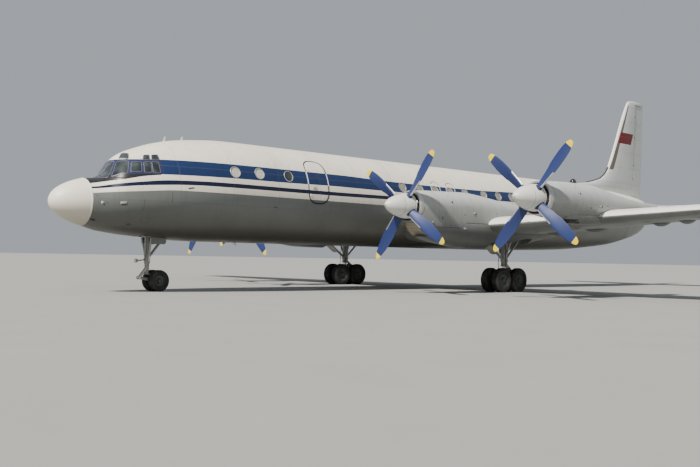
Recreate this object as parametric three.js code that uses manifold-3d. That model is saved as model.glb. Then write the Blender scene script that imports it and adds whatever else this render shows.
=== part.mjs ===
// Narrow body airliner with four propeller engines, parked on its wheels.
// Millimetres. X runs to port, Y runs aft and Z is up, with the ground under the tyres at Z 0.
// A station is a distance aft of the nose tip, as on a lofting drawing.
import * as THREE from 'three';
import { mergeVertices } from 'three/addons/utils/BufferGeometryUtils.js';
import Module from 'manifold-3d';

const wasm = await Module();
wasm.setup();

// Overall sizes
const LENGTH = 35900;
const HALF_SPAN = 18710;
const FIN_TOP = 10170;
const SEAT = 0.3; // gap left where one piece sits on another
const BEYOND = 200; // how far a cutter runs past the skin that it cuts
const ROUND = 32; // sides of the fuselage
const COWL_ROUND = 16; // sides of a nacelle
const WHEEL_ROUND = 16; // sides of a wheel
const LEG_ROUND = 10; // sides of a strut

// Fuselage
const NOSE_AXIS_Z = 2795;
const RADOME_LENGTH = 1050;
const RADOME_CURVE = { reach: 2200, radius: 862 }; // the ellipse that its outline follows
const FUSELAGE = [
  // station, top, bottom, half width, height of the widest point
  [1050, 3530, 2060, 735, 2795],
  [1560, 3680, 1925, 940, 2800],
  [1800, 3910, 1890, 1025, 2830],
  [2050, 4160, 1858, 1110, 2870],
  [2350, 4330, 1820, 1200, 2910],
  [2700, 4490, 1795, 1295, 2960],
  [3430, 4760, 1730, 1460, 3090],
  [4190, 4960, 1690, 1590, 3220],
  [4980, 5090, 1672, 1685, 3330],
  [6000, 5160, 1670, 1742, 3405],
  [7200, 5170, 1670, 1750, 3420],
  [18300, 5170, 1670, 1750, 3420],
  [21500, 5170, 1690, 1750, 3430],
  [24500, 5165, 1740, 1735, 3455],
  [27000, 5150, 1820, 1650, 3500],
  [29000, 5110, 1960, 1480, 3560],
  [31000, 5040, 2140, 1230, 3640],
  [33000, 4920, 2480, 900, 3760],
  [34400, 4790, 2830, 600, 3900],
  [35200, 4650, 3250, 380, 4050],
  [35700, 4500, 3800, 170, 4180],
  [35900, 4370, 4150, 60, 4270],
];
const DOORS = [
  // name, middle station, width, sill, head
  ['entry_door_front', 9320, 900, 3150, 4640],
  ['entry_door_rear', 25100, 900, 3150, 4640],
];
const NOSE_JACK_PAD = { station: 5600, radius: 70, bottom: 1640, top: 1800 };
const DOOR_CORNER = 330;
const DOOR_FRAME_X = 1180; // the face inside the doorway that a closed door rests on
const CABIN = [
  // station, radius of the hollow inside, height of its axis
  [8840, 1360, 3420],
  [27500, 1360, 3480],
  [31000, 850, 3620],
];

// Wing
const WING = {
  rootLE: 14180, rootChord: 5610, tipChord: 1870, rootZ: 2262,
  sweep: 5.35, dihedral: 3, rootIncidence: 3, tipIncidence: 0.5,
  rootThick: 0.155, tipThick: 0.12, camber: 0.018, hinge: 0.72,
};
const WING_START = 800; // the span station inside the body where the skin begins
const WING_TIP_ROUND = 420; // span over which the tip rounds off
const WING_TIP_STEPS = [
  // share of that span, share of the section
  [0, 1], [0.55, 0.86], [0.88, 0.6], [1, 0.3],
];
const WING_JACK_PAD = { span: 3300, share: 0.42, radius: 90, below: 45, above: 90 };
const TRAILING_SPAN = { low: 1500, high: 4500 }; // heights between which the trailing edge is cut
const FLAP_END_GAP = 8;
const HINGE_PIN = { radius: 22, rooted: 60, sides: 8 };
const TRAILING_HALF = 4; // half thickness of a control surface at its trailing edge
const FLAPS = [
  // name, inner end, outer end
  ['flap_inner', 1960, 3650],
  ['flap_outer', 5350, 11700],
];
const AILERON = { inner: 11840, outer: 18020, endGap: 32, noseGap: 10 };

// Tail
const FIN = [
  // height, leading edge station, thickness
  [4560, 27300, 560],
  [5170, 27900, 420],
  [5350, 29350, 400],
  [5710, 30930, 385],
  [6120, 31560, 370],
  [7010, 32020, 340],
  [9850, 33290, 215],
  [10080, 33480, 150],
  [FIN_TOP, 33900, 60],
];
const FIN_TRAILING = { bottomZ: 4700, bottom: 34930, topZ: FIN_TOP, top: 35130 };
const RUDDER = {
  bottomZ: 4900, bottom: 33960, topZ: 9950, top: 34190, endGap: 30, noseGap: 10, lowNose: 118, highNose: 62,
};
const TAIL_END = 35600; // station behind everything that a tail cutter removes
const TAILPLANE = { z: 4150, rootLE: 31950, tipLE: 33560, rootX: 300, tipX: 5900, trailing: 35080 };
const TAILPLANE_THICK = { root: 330, tip: 150 };
const TAILPLANE_TIP_ROUND = 260;
const TAILPLANE_TIP_STEPS = [[0, 1], [0.6, 0.88], [1, 0.55]];
const ELEVATOR = {
  hinge: 34080, inner: 760, outer: 5560, endGap: 14, noseGap: 10, rootNose: 96, tipNose: 46,
};

// Engines: one column of values for each of the two positions on a wing
const ENGINES = [
  // name, span, propeller plane, axis height, blade angle to port, blade angle to starboard
  ['inner', 4500, 10810, 3050, 54.7, 38],
  ['outer', 9080, 11830, 3240, 49.4, 61],
];
const LIP_RADIUS = 500; // inside the intake lip
const INTAKE_DEPTH = 390; // from the propeller plane to the front of the engine bay
const COWL = [
  // distance behind the propeller plane, half width, bottom below the axis, top above it: inner, outer
  [250, 540, 540, 540, 540],
  [330, 560, 556, 552, 552],
  [900, 615, 620, 585, 590],
  [2000, 640, 660, 620, 620],
  [3100, 645, 645, 645, 615],
  [3800, 635, 620, 600, 530],
  [4800, 600, 530, 490, 380],
  [6000, 510, 440, 365, 255],
  [6800, 415, 370, 285, 210],
  [7700, 290, 330, 190, 190],
];
const NOZZLE = { radius: 238, drop: 70, depth: 900 };
const GEAR_FAIRING = [
  // the same columns with one top: the chin and wheel bay under an inner nacelle
  [190, 380, 545, -60],
  [420, 500, 850, 0],
  [800, 575, 1095, 0],
  [1300, 630, 1210, 0],
  [1900, 665, 1300, 0],
  [2800, 690, 1395, 0],
  [4200, 700, 1410, 0],
  [5200, 690, 1400, 0],
  [6500, 600, 1240, -100],
  [7800, 420, 1010, -300],
  [8900, 200, 830, -480],
  [9250, 50, 730, -600],
];
const CHIN_SCOOP = { halfWidth: 430, top: 580, bottom: 1040, front: 0, back: 1350, corner: 190 };
const OIL_COOLER = [
  // the same columns with one top: the duct under an outer nacelle, which runs back into the wing
  [1450, 400, 690, -250],
  [1700, 455, 765, -250],
  [2100, 475, 780, -250],
  [2900, 470, 770, -250],
  [3900, 430, 720, -250],
  [4700, 350, 620, -250],
  [5200, 250, 500, -250],
];
const COOLER_MOUTH = { halfWidth: 310, top: 635, bottom: 735, front: 1400, back: 1900, corner: 45 };
const ENGINE = { radius: 420, pocket: 440, front: 450, length: 2700, noseRadius: 190, noseFront: 300 };

// Propeller
const PROP_RADIUS = 2250;
const SPINNER = [
  // distance ahead of the blades' plane, radius
  [970, 0],
  [955, 52],
  [880, 138],
  [700, 245],
  [420, 345],
  [100, 420],
  [-180, 448],
];
const SHAFT_RADIUS = 75;
const BLADE = [
  // radius, chord, thickness, pitch in degrees
  [330, 270, 150, 42],
  [500, 325, 118, 32],
  [760, 350, 84, 24],
  [1080, 372, 64, 18],
  [1220, 416, 56, 15],
  [1550, 403, 42, 9],
  [1820, 356, 32, 3],
  [2060, 275, 22, -3],
  [2190, 190, 15, -5],
  [PROP_RADIUS, 80, 8, -6],
];

const BLADE_SECTION = [
  // share of the chord ahead of the blade's axis, share of the thickness
  [0.5, 0], [0.3, 0.42], [0, 0.5], [-0.3, 0.3], [-0.5, 0.02], [-0.3, -0.3], [0, -0.5], [0.3, -0.42],
];

// Undercarriage
const MAIN = { span: 4500, station: 16540, wheelbase: 1000, track: 540, radius: 465, width: 305 };
const NOSE = { station: 3760, track: 380, radius: 350, width: 250, pivot: 3420 };
const AXLE_RADIUS = 60;
const BEARING_GAP = 1.5; // its flats clear the corners of the turning axle
const TYRE = [
  // share of the half width, share of the way from rim to tread
  [-0.72, 0], [-1, 0.36], [-0.86, 0.84], [-0.42, 1], [0.42, 1], [0.86, 0.84], [1, 0.36], [0.72, 0],
];
const RIM_SHARE = 0.52; // rim radius over tyre radius
const HUB = { flange: 0.34, dish: 0.86, well: 0.8, wellDepth: 45, boss: 95, cap: 80, capReach: 25 };
const MAIN_LEG = {
  piston: 85, pistonTop: 1150, cylinder: 135, cylinderFoot: 1000, joint: 1180, mountDrop: 60,
  dragStrut: 60, dragReach: 1250, aftStrut: 50, aftReach: 900, sideStrut: 42, sideReach: 380,
  crossTube: 60, crossReach: 440, crossAhead: 60,
};
const SCISSORS = [
  // half width, from, to behind the leg, low and high edge
  [45, 80, 250, 760, 830],
  [45, 100, 250, 1010, 1080],
  [35, 190, 250, 780, 1060],
];
const BOGIE = {
  half: 70, eye: 110, eyeHalf: 80, saddleHalf: 120, saddleReach: 130, saddleLow: 60, saddleHigh: 130,
};
const NOSE_LEG = {
  cylinder: 95, foot: 900, joint: 1180, crossZ: 1800, crossAhead: 30, crossReach: 290, crossTube: 50,
  sideStrut: 38, sideReach: 270, aftTube: 45, aftJoint: 1040, aftReach: 500, aftZ: 1640,
};
const NOSE_FORK = {
  stem: 78, stemFoot: 560, arm: 60, armTop: 780, armEnd: 50, kneeAhead: 290, kneeZ: 450,
  knee: 55, kneeHalf: 70, lever: 48, boss: 95, bossHalf: 55,
  damper: 40, damperTop: 620, damperAhead: 60, damperZ: 440,
};
const AXLE_HOLE_HALF = 200;
const NOSE_BAY_DOOR = { front: 3390, back: 3910, bottom: 1545, top: 1960, thick: 25 };
const NOSE_BAY = { front: 2980, back: 3980, halfWidth: 330, roof: 2150 };
const MAIN_BAY = { front: 15050, back: 17750, halfWidth: 520, roof: 2080 };

const COLOURS = {
  white: [0xe9e7dc, 0.4], grey: [0xb5b9bb, 0.45], blue: [0x2f4f9c, 0.4], metal: [0x7d8183, 0.45],
  tyre: [0x1b1c1d, 0.9], steel: [0x6d7276, 0.5],
};

const rad = THREE.MathUtils.degToRad;
const aft = (station) => station - LENGTH / 2;
const mix = (a, b, t) => a + (b - a) * t;
const point = (x, y, z) => new THREE.Vector3(x, y, z);

const airliner = new THREE.Group();

function addPiece(name, geometry, colour) {
  const [hex, roughness] = COLOURS[colour];
  const metalness = colour === 'steel' || colour === 'metal' ? 0.6 : 0.05;
  const paint = new THREE.MeshStandardMaterial({ color: hex, roughness, metalness });
  const mesh = new THREE.Mesh(geometry, paint);
  mesh.name = name;
  airliner.add(mesh);
  return mesh;
}

// A closed skin through rings of points, each end closed by a fan.
function loft(rings) {
  const count = rings[0].length;
  const middle = (ring) => ring.reduce((sum, p) => sum.add(p), point(0, 0, 0)).divideScalar(count);
  const points = [...rings.flat(), middle(rings[0]), middle(rings.at(-1))];
  const index = [];
  for (let r = 0; r + 1 < rings.length; r += 1) {
    for (let i = 0; i < count; i += 1) {
      const a = r * count + i;
      const b = r * count + ((i + 1) % count);
      index.push(a, b, b + count, a, b + count, a + count);
    }
  }
  const first = rings.length * count;
  const last = (rings.length - 1) * count;
  for (let i = 0; i < count; i += 1) {
    const j = (i + 1) % count;
    index.push(first, j, i, first + 1, last + i, last + j);
  }
  const geometry = new THREE.BufferGeometry().setFromPoints(points);
  geometry.setIndex(index);
  return volume(geometry) < 0 ? flipped(geometry) : geometry;
}

function volume(geometry) {
  const at = geometry.attributes.position;
  const corner = (k) => new THREE.Vector3().fromBufferAttribute(at, geometry.index.getX(k));
  let sum = 0;
  for (let k = 0; k < geometry.index.count; k += 3) {
    sum += corner(k).dot(corner(k + 1).cross(corner(k + 2))) / 6;
  }
  return sum;
}

function flipped(geometry) {
  const index = geometry.index.array;
  for (let k = 0; k < index.length; k += 3) {
    [index[k + 1], index[k + 2]] = [index[k + 2], index[k + 1]];
  }
  return geometry;
}

function mirrored(geometry) {
  return flipped(geometry.clone().scale(-1, 1, 1));
}

function solid(geometry) {
  const bare = geometry.clone();
  bare.deleteAttribute('normal');
  bare.deleteAttribute('uv');
  const merged = mergeVertices(bare, 0.01);
  return new wasm.Manifold(new wasm.Mesh({
    numProp: 3,
    vertProperties: new Float32Array(merged.attributes.position.array),
    triVerts: new Uint32Array(merged.index.array),
  }));
}

function geometryOf(body) {
  const mesh = body.getMesh();
  const geometry = new THREE.BufferGeometry();
  geometry.setAttribute('position', new THREE.BufferAttribute(new Float32Array(mesh.vertProperties), 3));
  geometry.setIndex(new THREE.BufferAttribute(new Uint32Array(mesh.triVerts), 1));
  return geometry;
}

function cut(geometry, ...tools) {
  return geometryOf(tools.reduce((body, tool) => body.subtract(solid(tool)), solid(geometry)));
}

const join = (...geometries) => geometryOf(geometries.map(solid).reduce((body, s) => body.add(s)));
const shared = (a, b) => geometryOf(solid(a).intersect(solid(b)));

// Turns a piece that was made along Y to lie along a direction.
function pointAlong(geometry, direction) {
  const turn = new THREE.Quaternion().setFromUnitVectors(point(0, 1, 0), direction.clone().normalize());
  return geometry.applyQuaternion(turn);
}

function cylinder(radius, from, to, sides = LEG_ROUND, endRadius = radius) {
  const along = new THREE.Vector3().subVectors(to, from);
  const geometry = new THREE.CylinderGeometry(endRadius, radius, along.length(), sides);
  pointAlong(geometry, along);
  return geometry.translate(...new THREE.Vector3().addVectors(from, to).divideScalar(2).toArray());
}

function box(x0, x1, y0, y1, z0, z1) {
  const block = new THREE.BoxGeometry(x1 - x0, y1 - y0, z1 - z0);
  return block.translate((x0 + x1) / 2, (y0 + y1) / 2, (z0 + z1) / 2);
}

// A turned piece on an axis along X through y, z. Profile rows are [radius, x].
function turned(profile, y, z, sides, turn = 0) {
  const geometry = new THREE.LatheGeometry(profile.map(([r, x]) => new THREE.Vector2(r, x)), sides);
  geometry.rotateY(turn);
  geometry.rotateZ(-Math.PI / 2);
  return closed(geometry).translate(0, y, z);
}

// Joins the seam of a turned geometry and points its faces outward.
function closed(geometry) {
  geometry.deleteAttribute('normal');
  geometry.deleteAttribute('uv');
  const merged = mergeVertices(geometry, 0.01);
  const index = merged.index.array;
  const kept = [];
  for (let k = 0; k < index.length; k += 3) {
    const [a, b, c] = [index[k], index[k + 1], index[k + 2]];
    if (a !== b && b !== c && c !== a) kept.push(a, b, c);
  }
  merged.setIndex(kept);
  return volume(merged) < 0 ? flipped(merged) : merged;
}

// A plate with an outline in plan, from z0 to z1.
function planPrism(corners, z0, z1) {
  return loft([z0, z1].map((z) => corners.map(([x, y]) => point(x, y, z))));
}

// A plate with rounded corners seen from the front, from y0 to y1.
function roundedPlug(centreX, halfWidth, z0, z1, corner, y0, y1) {
  const outline = [];
  const turns = [[1, 1, 0], [-1, 1, 90], [-1, -1, 180], [1, -1, 270]];
  for (const [sx, sz, start] of turns) {
    for (const step of [0, 30, 60, 90]) {
      const a = rad(start + step);
      const x = centreX + sx * (halfWidth - corner) + corner * Math.cos(a);
      const z = (z0 + z1) / 2 + sz * ((z1 - z0) / 2 - corner) + corner * Math.sin(a);
      outline.push([x, z]);
    }
  }
  return loft([y0, y1].map((y) => outline.map(([x, z]) => point(x, y, z))));
}

// Fuselage and radome
function bodyRing([station, top, bottom, halfWidth, wide], grow = 0) {
  return Array.from({ length: ROUND }, (_, i) => {
    const a = (i / ROUND) * 2 * Math.PI;
    const rise = (Math.sin(a) > 0 ? top - wide : wide - bottom) + grow;
    return point((halfWidth + grow) * Math.cos(a), aft(station), wide + rise * Math.sin(a));
  });
}

const fuselageSkin = (grow) => loft(FUSELAGE.map((row) => bodyRing(row, grow)));
const fuselageTool = fuselageSkin(SEAT);

function makeFuselage() {
  let skin = fuselageSkin(0);
  for (const [name, middle, width, sill, head] of DOORS) {
    const hole = (grow, inner) => {
      const plug = roundedPlug(0, width / 2 + grow, sill - grow, head + grow, DOOR_CORNER + grow, 0, 1000);
      return plug.rotateZ(-Math.PI / 2).translate(inner, aft(middle), 0);
    };
    addPiece(name, shared(skin, hole(-SEAT, DOOR_FRAME_X + SEAT)), 'white');
    skin = cut(skin, hole(0, DOOR_FRAME_X));
  }
  const { front, back, halfWidth, roof } = NOSE_BAY;
  const cabin = loft(CABIN.map(([station, radius, axis]) => (
    bodyRing([station, axis + radius, axis - radius, radius, axis])
  )));
  skin = cut(skin, box(-halfWidth, halfWidth, aft(front), aft(back), 0, roof), cabin);
  const { station, radius, bottom, top } = NOSE_JACK_PAD;
  const pad = cylinder(radius, point(0, aft(station), bottom), point(0, aft(station), top));
  addPiece('fuselage', join(skin, pad), 'white');
  const door = NOSE_BAY_DOOR;
  const face = halfWidth - SEAT;
  const panel = box(face - door.thick, face, aft(door.front), aft(door.back), door.bottom, door.top);
  addPiece('nose_bay_door_port', panel, 'grey');
  addPiece('nose_bay_door_starboard', mirrored(panel), 'grey');
}

function makeRadome() {
  const { reach, radius } = RADOME_CURVE;
  const rings = [0, 25, 90, 200, 380, 620, 850, RADOME_LENGTH - SEAT].map((station) => {
    const r = radius * Math.sqrt(1 - ((reach - Math.max(station, 2)) / reach) ** 2);
    return bodyRing([station, NOSE_AXIS_Z + r, NOSE_AXIS_Z - r, r, NOSE_AXIS_Z]);
  });
  addPiece('radome', loft(rings), 'white');
}

// Wing. Section points run from the trailing edge over the top to the leading edge and back.
const SECTION_STEPS = [1, 0.86, 0.72, 0.55, 0.38, 0.22, 0.1, 0.03, 0];

function halfThickness(x, thick) {
  const curve = 0.2969 * Math.sqrt(x) - 0.126 * x - 0.3516 * x ** 2 + 0.2843 * x ** 3 - 0.1015 * x ** 4;
  return 5 * thick * curve + 0.0012 * x;
}

function camberAt(x, camber) {
  return 4 * camber * x * (1 - x);
}

function wingAt(x) {
  const t = x / HALF_SPAN;
  return {
    le: WING.rootLE + x * Math.tan(rad(WING.sweep)),
    chord: mix(WING.rootChord, WING.tipChord, t),
    z: WING.rootZ + x * Math.tan(rad(WING.dihedral)),
    incidence: rad(mix(WING.rootIncidence, WING.tipIncidence, t)),
    thick: mix(WING.rootThick, WING.tipThick, t),
  };
}

function wingPoint(x, share, height = 0) {
  const { le, chord, z, incidence } = wingAt(x);
  const along = share * chord;
  const up = height * chord;
  return point(
    x,
    aft(le) + along * Math.cos(incidence) + up * Math.sin(incidence),
    z - along * Math.sin(incidence) + up * Math.cos(incidence),
  );
}

function wingRing(x, grow = 0, shrink = 1) {
  const { thick, chord } = wingAt(x);
  const rows = [
    ...SECTION_STEPS.map((s) => [s, 1]),
    ...SECTION_STEPS.slice(0, -1).reverse().map((s) => [s, -1]),
  ];
  return rows.map(([s, side]) => {
    const share = mix(0.45, s, shrink);
    const lead = s === 0 ? -grow / chord : 0;
    const trail = s === 1 ? grow / chord : 0;
    const height = camberAt(s, WING.camber) + side * (halfThickness(s, thick) * shrink + grow / chord);
    return wingPoint(x, share + lead + trail, s === 0 ? height - side * (grow / chord) : height);
  });
}

function wingSkin(grow = 0) {
  const tip = HALF_SPAN - WING_TIP_ROUND;
  const rings = [WING_START, ...ENGINES.map(([, span]) => span)].map((x) => wingRing(x, grow));
  rings.push(...WING_TIP_STEPS.map(([t, shrink]) => wingRing(tip + t * WING_TIP_ROUND, grow, shrink)));
  return loft(rings);
}

const wingTool = wingSkin(SEAT);

// Plan outline of what lies behind a line at a share of the chord, between two span stations.
function behindLine(x0, x1, ahead) {
  const front = (x) => wingPoint(x, WING.hinge).y - ahead(x);
  const back = (x) => wingPoint(x, 1).y + BEYOND;
  const corners = [[x0, front(x0)], [x1, front(x1)], [x1, back(x1)], [x0, back(x0)]];
  return planPrism(corners, TRAILING_SPAN.low, TRAILING_SPAN.high);
}

// A control surface: rings with a round nose on the hinge line and a thin trailing edge.
function surfaceRing(hinge, trailing, radius, across) {
  const along = new THREE.Vector3().subVectors(trailing, hinge).normalize();
  const up = new THREE.Vector3().crossVectors(across, along).normalize();
  const ring = [];
  for (let step = 0; step <= 6; step += 1) {
    const a = rad(90 + step * 30);
    const ahead = hinge.clone().addScaledVector(along, radius * Math.cos(a));
    ring.push(ahead.addScaledVector(up, radius * Math.sin(a)));
  }
  ring.push(...[-TRAILING_HALF, TRAILING_HALF].map((out) => trailing.clone().addScaledVector(up, out)));
  return ring;
}

// A pin with a ball end on the hinge line, from inside the surface to its seat.
function hingePin(root, seat) {
  const { radius, sides } = HINGE_PIN;
  const along = new THREE.Vector3().subVectors(seat, root);
  const ball = along.length() - radius;
  const arc = [90, 60, 30, 0].map((a) => [radius * Math.sin(rad(a)), ball + radius * Math.cos(rad(a))]);
  const profile = [[0, 0], [radius, 0], ...arc].map(([r, h]) => new THREE.Vector2(r, h));
  const geometry = closed(new THREE.LatheGeometry(profile, sides));
  return pointAlong(geometry, along).translate(...root.toArray());
}

// The pin at the end of the hinge line from a to b, seated a gap short of what carries it.
function endPin(a, b, gap) {
  const span = a.distanceTo(b);
  return hingePin(onLine(a, b, 1 - HINGE_PIN.rooted / span), onLine(a, b, 1 + (gap - SEAT) / span));
}

function onLine(from, to, t) {
  return new THREE.Vector3().lerpVectors(from, to, t);
}

const aileronRadius = (x) => halfThickness(WING.hinge, wingAt(x).thick) * wingAt(x).chord;

function makeWing() {
  const { inner, outer, endGap, noseGap } = AILERON;
  const hingeHeight = camberAt(WING.hinge, WING.camber);
  const hingeAt = (x) => wingPoint(x, WING.hinge, hingeHeight);
  let skin = cut(wingSkin(), fuselageTool);
  const pieces = [];
  for (const [name, x0, x1] of FLAPS) {
    const whole = cut(wingSkin(), fuselageTool);
    pieces.push([name, shared(whole, behindLine(x0 + FLAP_END_GAP, x1 - FLAP_END_GAP, () => -SEAT))]);
    skin = cut(skin, behindLine(x0, x1, () => 0));
  }
  skin = cut(skin, behindLine(inner, outer, (x) => aileronRadius(x) + noseGap));
  const ends = [inner + endGap, outer - endGap];
  const rings = ends.map((x) => surfaceRing(hingeAt(x), wingPoint(x, 1), aileronRadius(x), point(1, 0, 0)));
  const [a, b] = ends.map(hingeAt);
  pieces.push(['aileron', join(loft(rings), endPin(a, b, endGap), endPin(b, a, endGap))]);
  const { span, share, radius, below, above } = WING_JACK_PAD;
  const at = wingPoint(span, share, camberAt(share, WING.camber) - halfThickness(share, wingAt(span).thick));
  const pad = cylinder(radius, point(at.x, at.y, at.z - below), point(at.x, at.y, at.z + above));
  pieces.push(['wing', join(skin, pad)]);
  for (const [name, geometry] of pieces) {
    const colour = name === 'wing' ? 'white' : 'grey';
    addPiece(`${name}_port`, geometry, colour);
    addPiece(`${name}_starboard`, mirrored(geometry), colour);
  }
}

// Tail
function tailRing(le, trailing, thickness, place) {
  const rows = [
    ...SECTION_STEPS.map((s) => [s, 1]),
    ...SECTION_STEPS.slice(0, -1).reverse().map((s) => [s, -1]),
  ];
  const chord = trailing - le;
  return rows.map(([s, side]) => place(le + s * chord, side * (halfThickness(s, 1) * thickness + 1.5)));
}

function finTrailingAt(z) {
  const { bottomZ, bottom, topZ, top } = FIN_TRAILING;
  return mix(bottom, top, (z - bottomZ) / (topZ - bottomZ));
}

function rudderHingeAt(z) {
  const t = (z - RUDDER.bottomZ) / (RUDDER.topZ - RUDDER.bottomZ);
  return point(0, aft(mix(RUDDER.bottom, RUDDER.top, t)), z);
}

function makeFin() {
  const rings = FIN.map(([z, le, thickness]) => (
    tailRing(le, finTrailingAt(z), thickness, (station, out) => point(out, aft(station), z))
  ));
  const { bottomZ, topZ, endGap, noseGap } = RUDDER;
  const radiusAt = (z) => mix(RUDDER.lowNose, RUDDER.highNose, (z - bottomZ) / (topZ - bottomZ));
  const slot = loft([bottomZ - endGap, topZ + endGap].map((z) => {
    const front = rudderHingeAt(z).y - radiusAt(z) - noseGap;
    const corners = [[-BEYOND, front], [BEYOND, front], [BEYOND, aft(TAIL_END)], [-BEYOND, aft(TAIL_END)]];
    return corners.map(([x, y]) => point(x, y, z));
  }));
  addPiece('fin', cut(loft(rings), fuselageTool, slot), 'white');
  const ends = [bottomZ, topZ];
  const panels = ends.map((z) => surfaceRing(
    rudderHingeAt(z), point(0, aft(finTrailingAt(z)), z), radiusAt(z), point(0, 0, 1),
  ));
  const [low, high] = ends.map(rudderHingeAt);
  addPiece('rudder', join(loft(panels), endPin(low, high, endGap)), 'white');
}

function makeTailplane() {
  const { z, rootLE, tipLE, rootX, tipX, trailing } = TAILPLANE;
  const { hinge, inner, outer, endGap, noseGap } = ELEVATOR;
  const share = (x) => (x - rootX) / (tipX - rootX);
  const thickAt = (x) => mix(TAILPLANE_THICK.root, TAILPLANE_THICK.tip, share(x));
  const radiusAt = (x) => mix(ELEVATOR.rootNose, ELEVATOR.tipNose, share(x));
  const ringAt = (x, shrink) => {
    const leading = mix(rootLE, tipLE, share(x));
    const middle = (leading + trailing) / 2;
    const half = ((trailing - leading) / 2) * shrink;
    const place = (station, out) => point(x, aft(station), z + out);
    return tailRing(middle - half, middle + half, thickAt(x) * shrink, place);
  };
  const start = tipX - TAILPLANE_TIP_ROUND;
  const rounded = TAILPLANE_TIP_STEPS.map(([t, shrink]) => ringAt(start + t * TAILPLANE_TIP_ROUND, shrink));
  const front = (x) => aft(hinge) - radiusAt(x) - noseGap;
  const corners = [[0, front(0)], [outer, front(outer)], [outer, aft(TAIL_END)], [0, aft(TAIL_END)]];
  const slot = planPrism(corners, z - BEYOND, z + BEYOND);
  const plane = cut(loft([ringAt(rootX, 1), ...rounded]), fuselageTool, slot);
  const ends = [inner, outer - endGap];
  const panels = ends.map((x) => surfaceRing(
    point(x, aft(hinge), z), point(x, aft(trailing), z), radiusAt(x), point(1, 0, 0),
  ));
  const [a, b] = ends.map((x) => point(x, aft(hinge), z));
  const elevator = join(loft(panels), endPin(a, b, endGap));
  addPiece('tailplane_port', plane, 'white');
  addPiece('tailplane_starboard', mirrored(plane), 'white');
  addPiece('elevator_port', elevator, 'grey');
  addPiece('elevator_starboard', mirrored(elevator), 'grey');
}

// Nacelles, engines and propellers
function cowlRing([behind, halfWidth, bottom, ...tops], [name, span, plane, axis]) {
  const top = name === 'inner' ? tops[0] : tops.at(-1);
  return Array.from({ length: COWL_ROUND }, (_, i) => {
    const a = (i / COWL_ROUND) * 2 * Math.PI;
    const middle = (top - bottom) / 2;
    const half = (top + bottom) / 2;
    return point(span + halfWidth * Math.cos(a), aft(plane + behind), axis + middle + half * Math.sin(a));
  });
}

function makeNacelle(engine) {
  const [name, span, plane, axis] = engine;
  const at = (behind, drop = 0) => point(span, aft(plane + behind), axis - drop);
  const carriesWheels = name === 'inner';
  const low = carriesWheels ? GEAR_FAIRING : OIL_COOLER;
  const parts = [COWL, low].map((rows) => loft(rows.map((row) => cowlRing(row, engine))));
  const end = COWL.at(-1)[0];
  const { halfWidth, top, bottom, front, back, corner } = carriesWheels ? CHIN_SCOOP : COOLER_MOUTH;
  const tools = [
    cylinder(LIP_RADIUS, at(0), at(INTAKE_DEPTH), COWL_ROUND),
    cylinder(ENGINE.pocket, at(0), at(ENGINE.front + ENGINE.length), COWL_ROUND),
    cylinder(NOZZLE.radius, at(end - NOZZLE.depth, NOZZLE.drop), at(end + BEYOND, NOZZLE.drop), COWL_ROUND),
    roundedPlug(span, halfWidth, axis - bottom, axis - top, corner, aft(plane + front), aft(plane + back)),
    wingTool,
  ];
  if (carriesWheels) {
    const bay = MAIN_BAY;
    tools.push(box(span - bay.halfWidth, span + bay.halfWidth, aft(bay.front), aft(bay.back), 0, bay.roof));
  }
  return cut(join(...parts), ...tools);
}

function makeEngine([, span, plane, axis]) {
  const at = (behind) => point(span, aft(plane + behind), axis);
  return join(
    cylinder(ENGINE.radius, at(ENGINE.front), at(ENGINE.front + ENGINE.length - SEAT), COWL_ROUND),
    cylinder(ENGINE.noseRadius, at(ENGINE.noseFront), at(ENGINE.front + ENGINE.noseRadius), LEG_ROUND),
  );
}

function bladeRing([radius, chord, thickness, pitch]) {
  const turn = rad(pitch);
  return BLADE_SECTION.map(([c, t]) => {
    const along = c * chord;
    const out = t * thickness;
    const sin = Math.sin(turn);
    const cos = Math.cos(turn);
    return point(along * cos + out * sin, out * cos - along * sin, radius);
  });
}

function makePropeller([, span, plane, axis], angle) {
  const profile = [...SPINNER, [-180, 0]].map(([ahead, radius]) => new THREE.Vector2(radius, ahead));
  const spinner = closed(new THREE.LatheGeometry(profile, COWL_ROUND).rotateX(Math.PI));
  const shaft = cylinder(SHAFT_RADIUS, point(0, 0, 0), point(0, ENGINE.noseFront - SEAT, 0));
  const blades = [0, 90, 180, 270].map((turn) => loft(BLADE.map(bladeRing)).rotateY(rad(90 - angle + turn)));
  return join(spinner, shaft, ...blades).translate(span, aft(plane), axis);
}

function makeEngines() {
  const hands = [['port', 1], ['starboard', -1]];
  for (const engine of ENGINES) {
    const [name, span, plane, axis, portAngle, starboardAngle] = engine;
    const nacelle = makeNacelle(engine);
    const block = makeEngine(engine);
    for (const [side, sign] of hands) {
      const angle = sign > 0 ? portAngle : starboardAngle;
      addPiece(`nacelle_${name}_${side}`, sign > 0 ? nacelle : mirrored(nacelle), 'grey');
      addPiece(`engine_${name}_${side}`, sign > 0 ? block : mirrored(block), 'steel');
      addPiece(`propeller_${name}_${side}`, makePropeller([name, sign * span, plane, axis], angle), 'blue');
    }
  }
}

// Wheels: a tyre ring, and an axle with the two wheels it carries.
function tyre(x, y, size, sides) {
  const rim = size.radius * RIM_SHARE;
  const grow = 1 / Math.cos(Math.PI / sides);
  const tread = size.radius * grow;
  const profile = TYRE.map(([across, out]) => [mix(rim, tread, out), x + (across * size.width) / 2]);
  profile.push(profile[0]);
  return turned(profile, y, size.radius, sides, Math.PI / sides);
}

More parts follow.
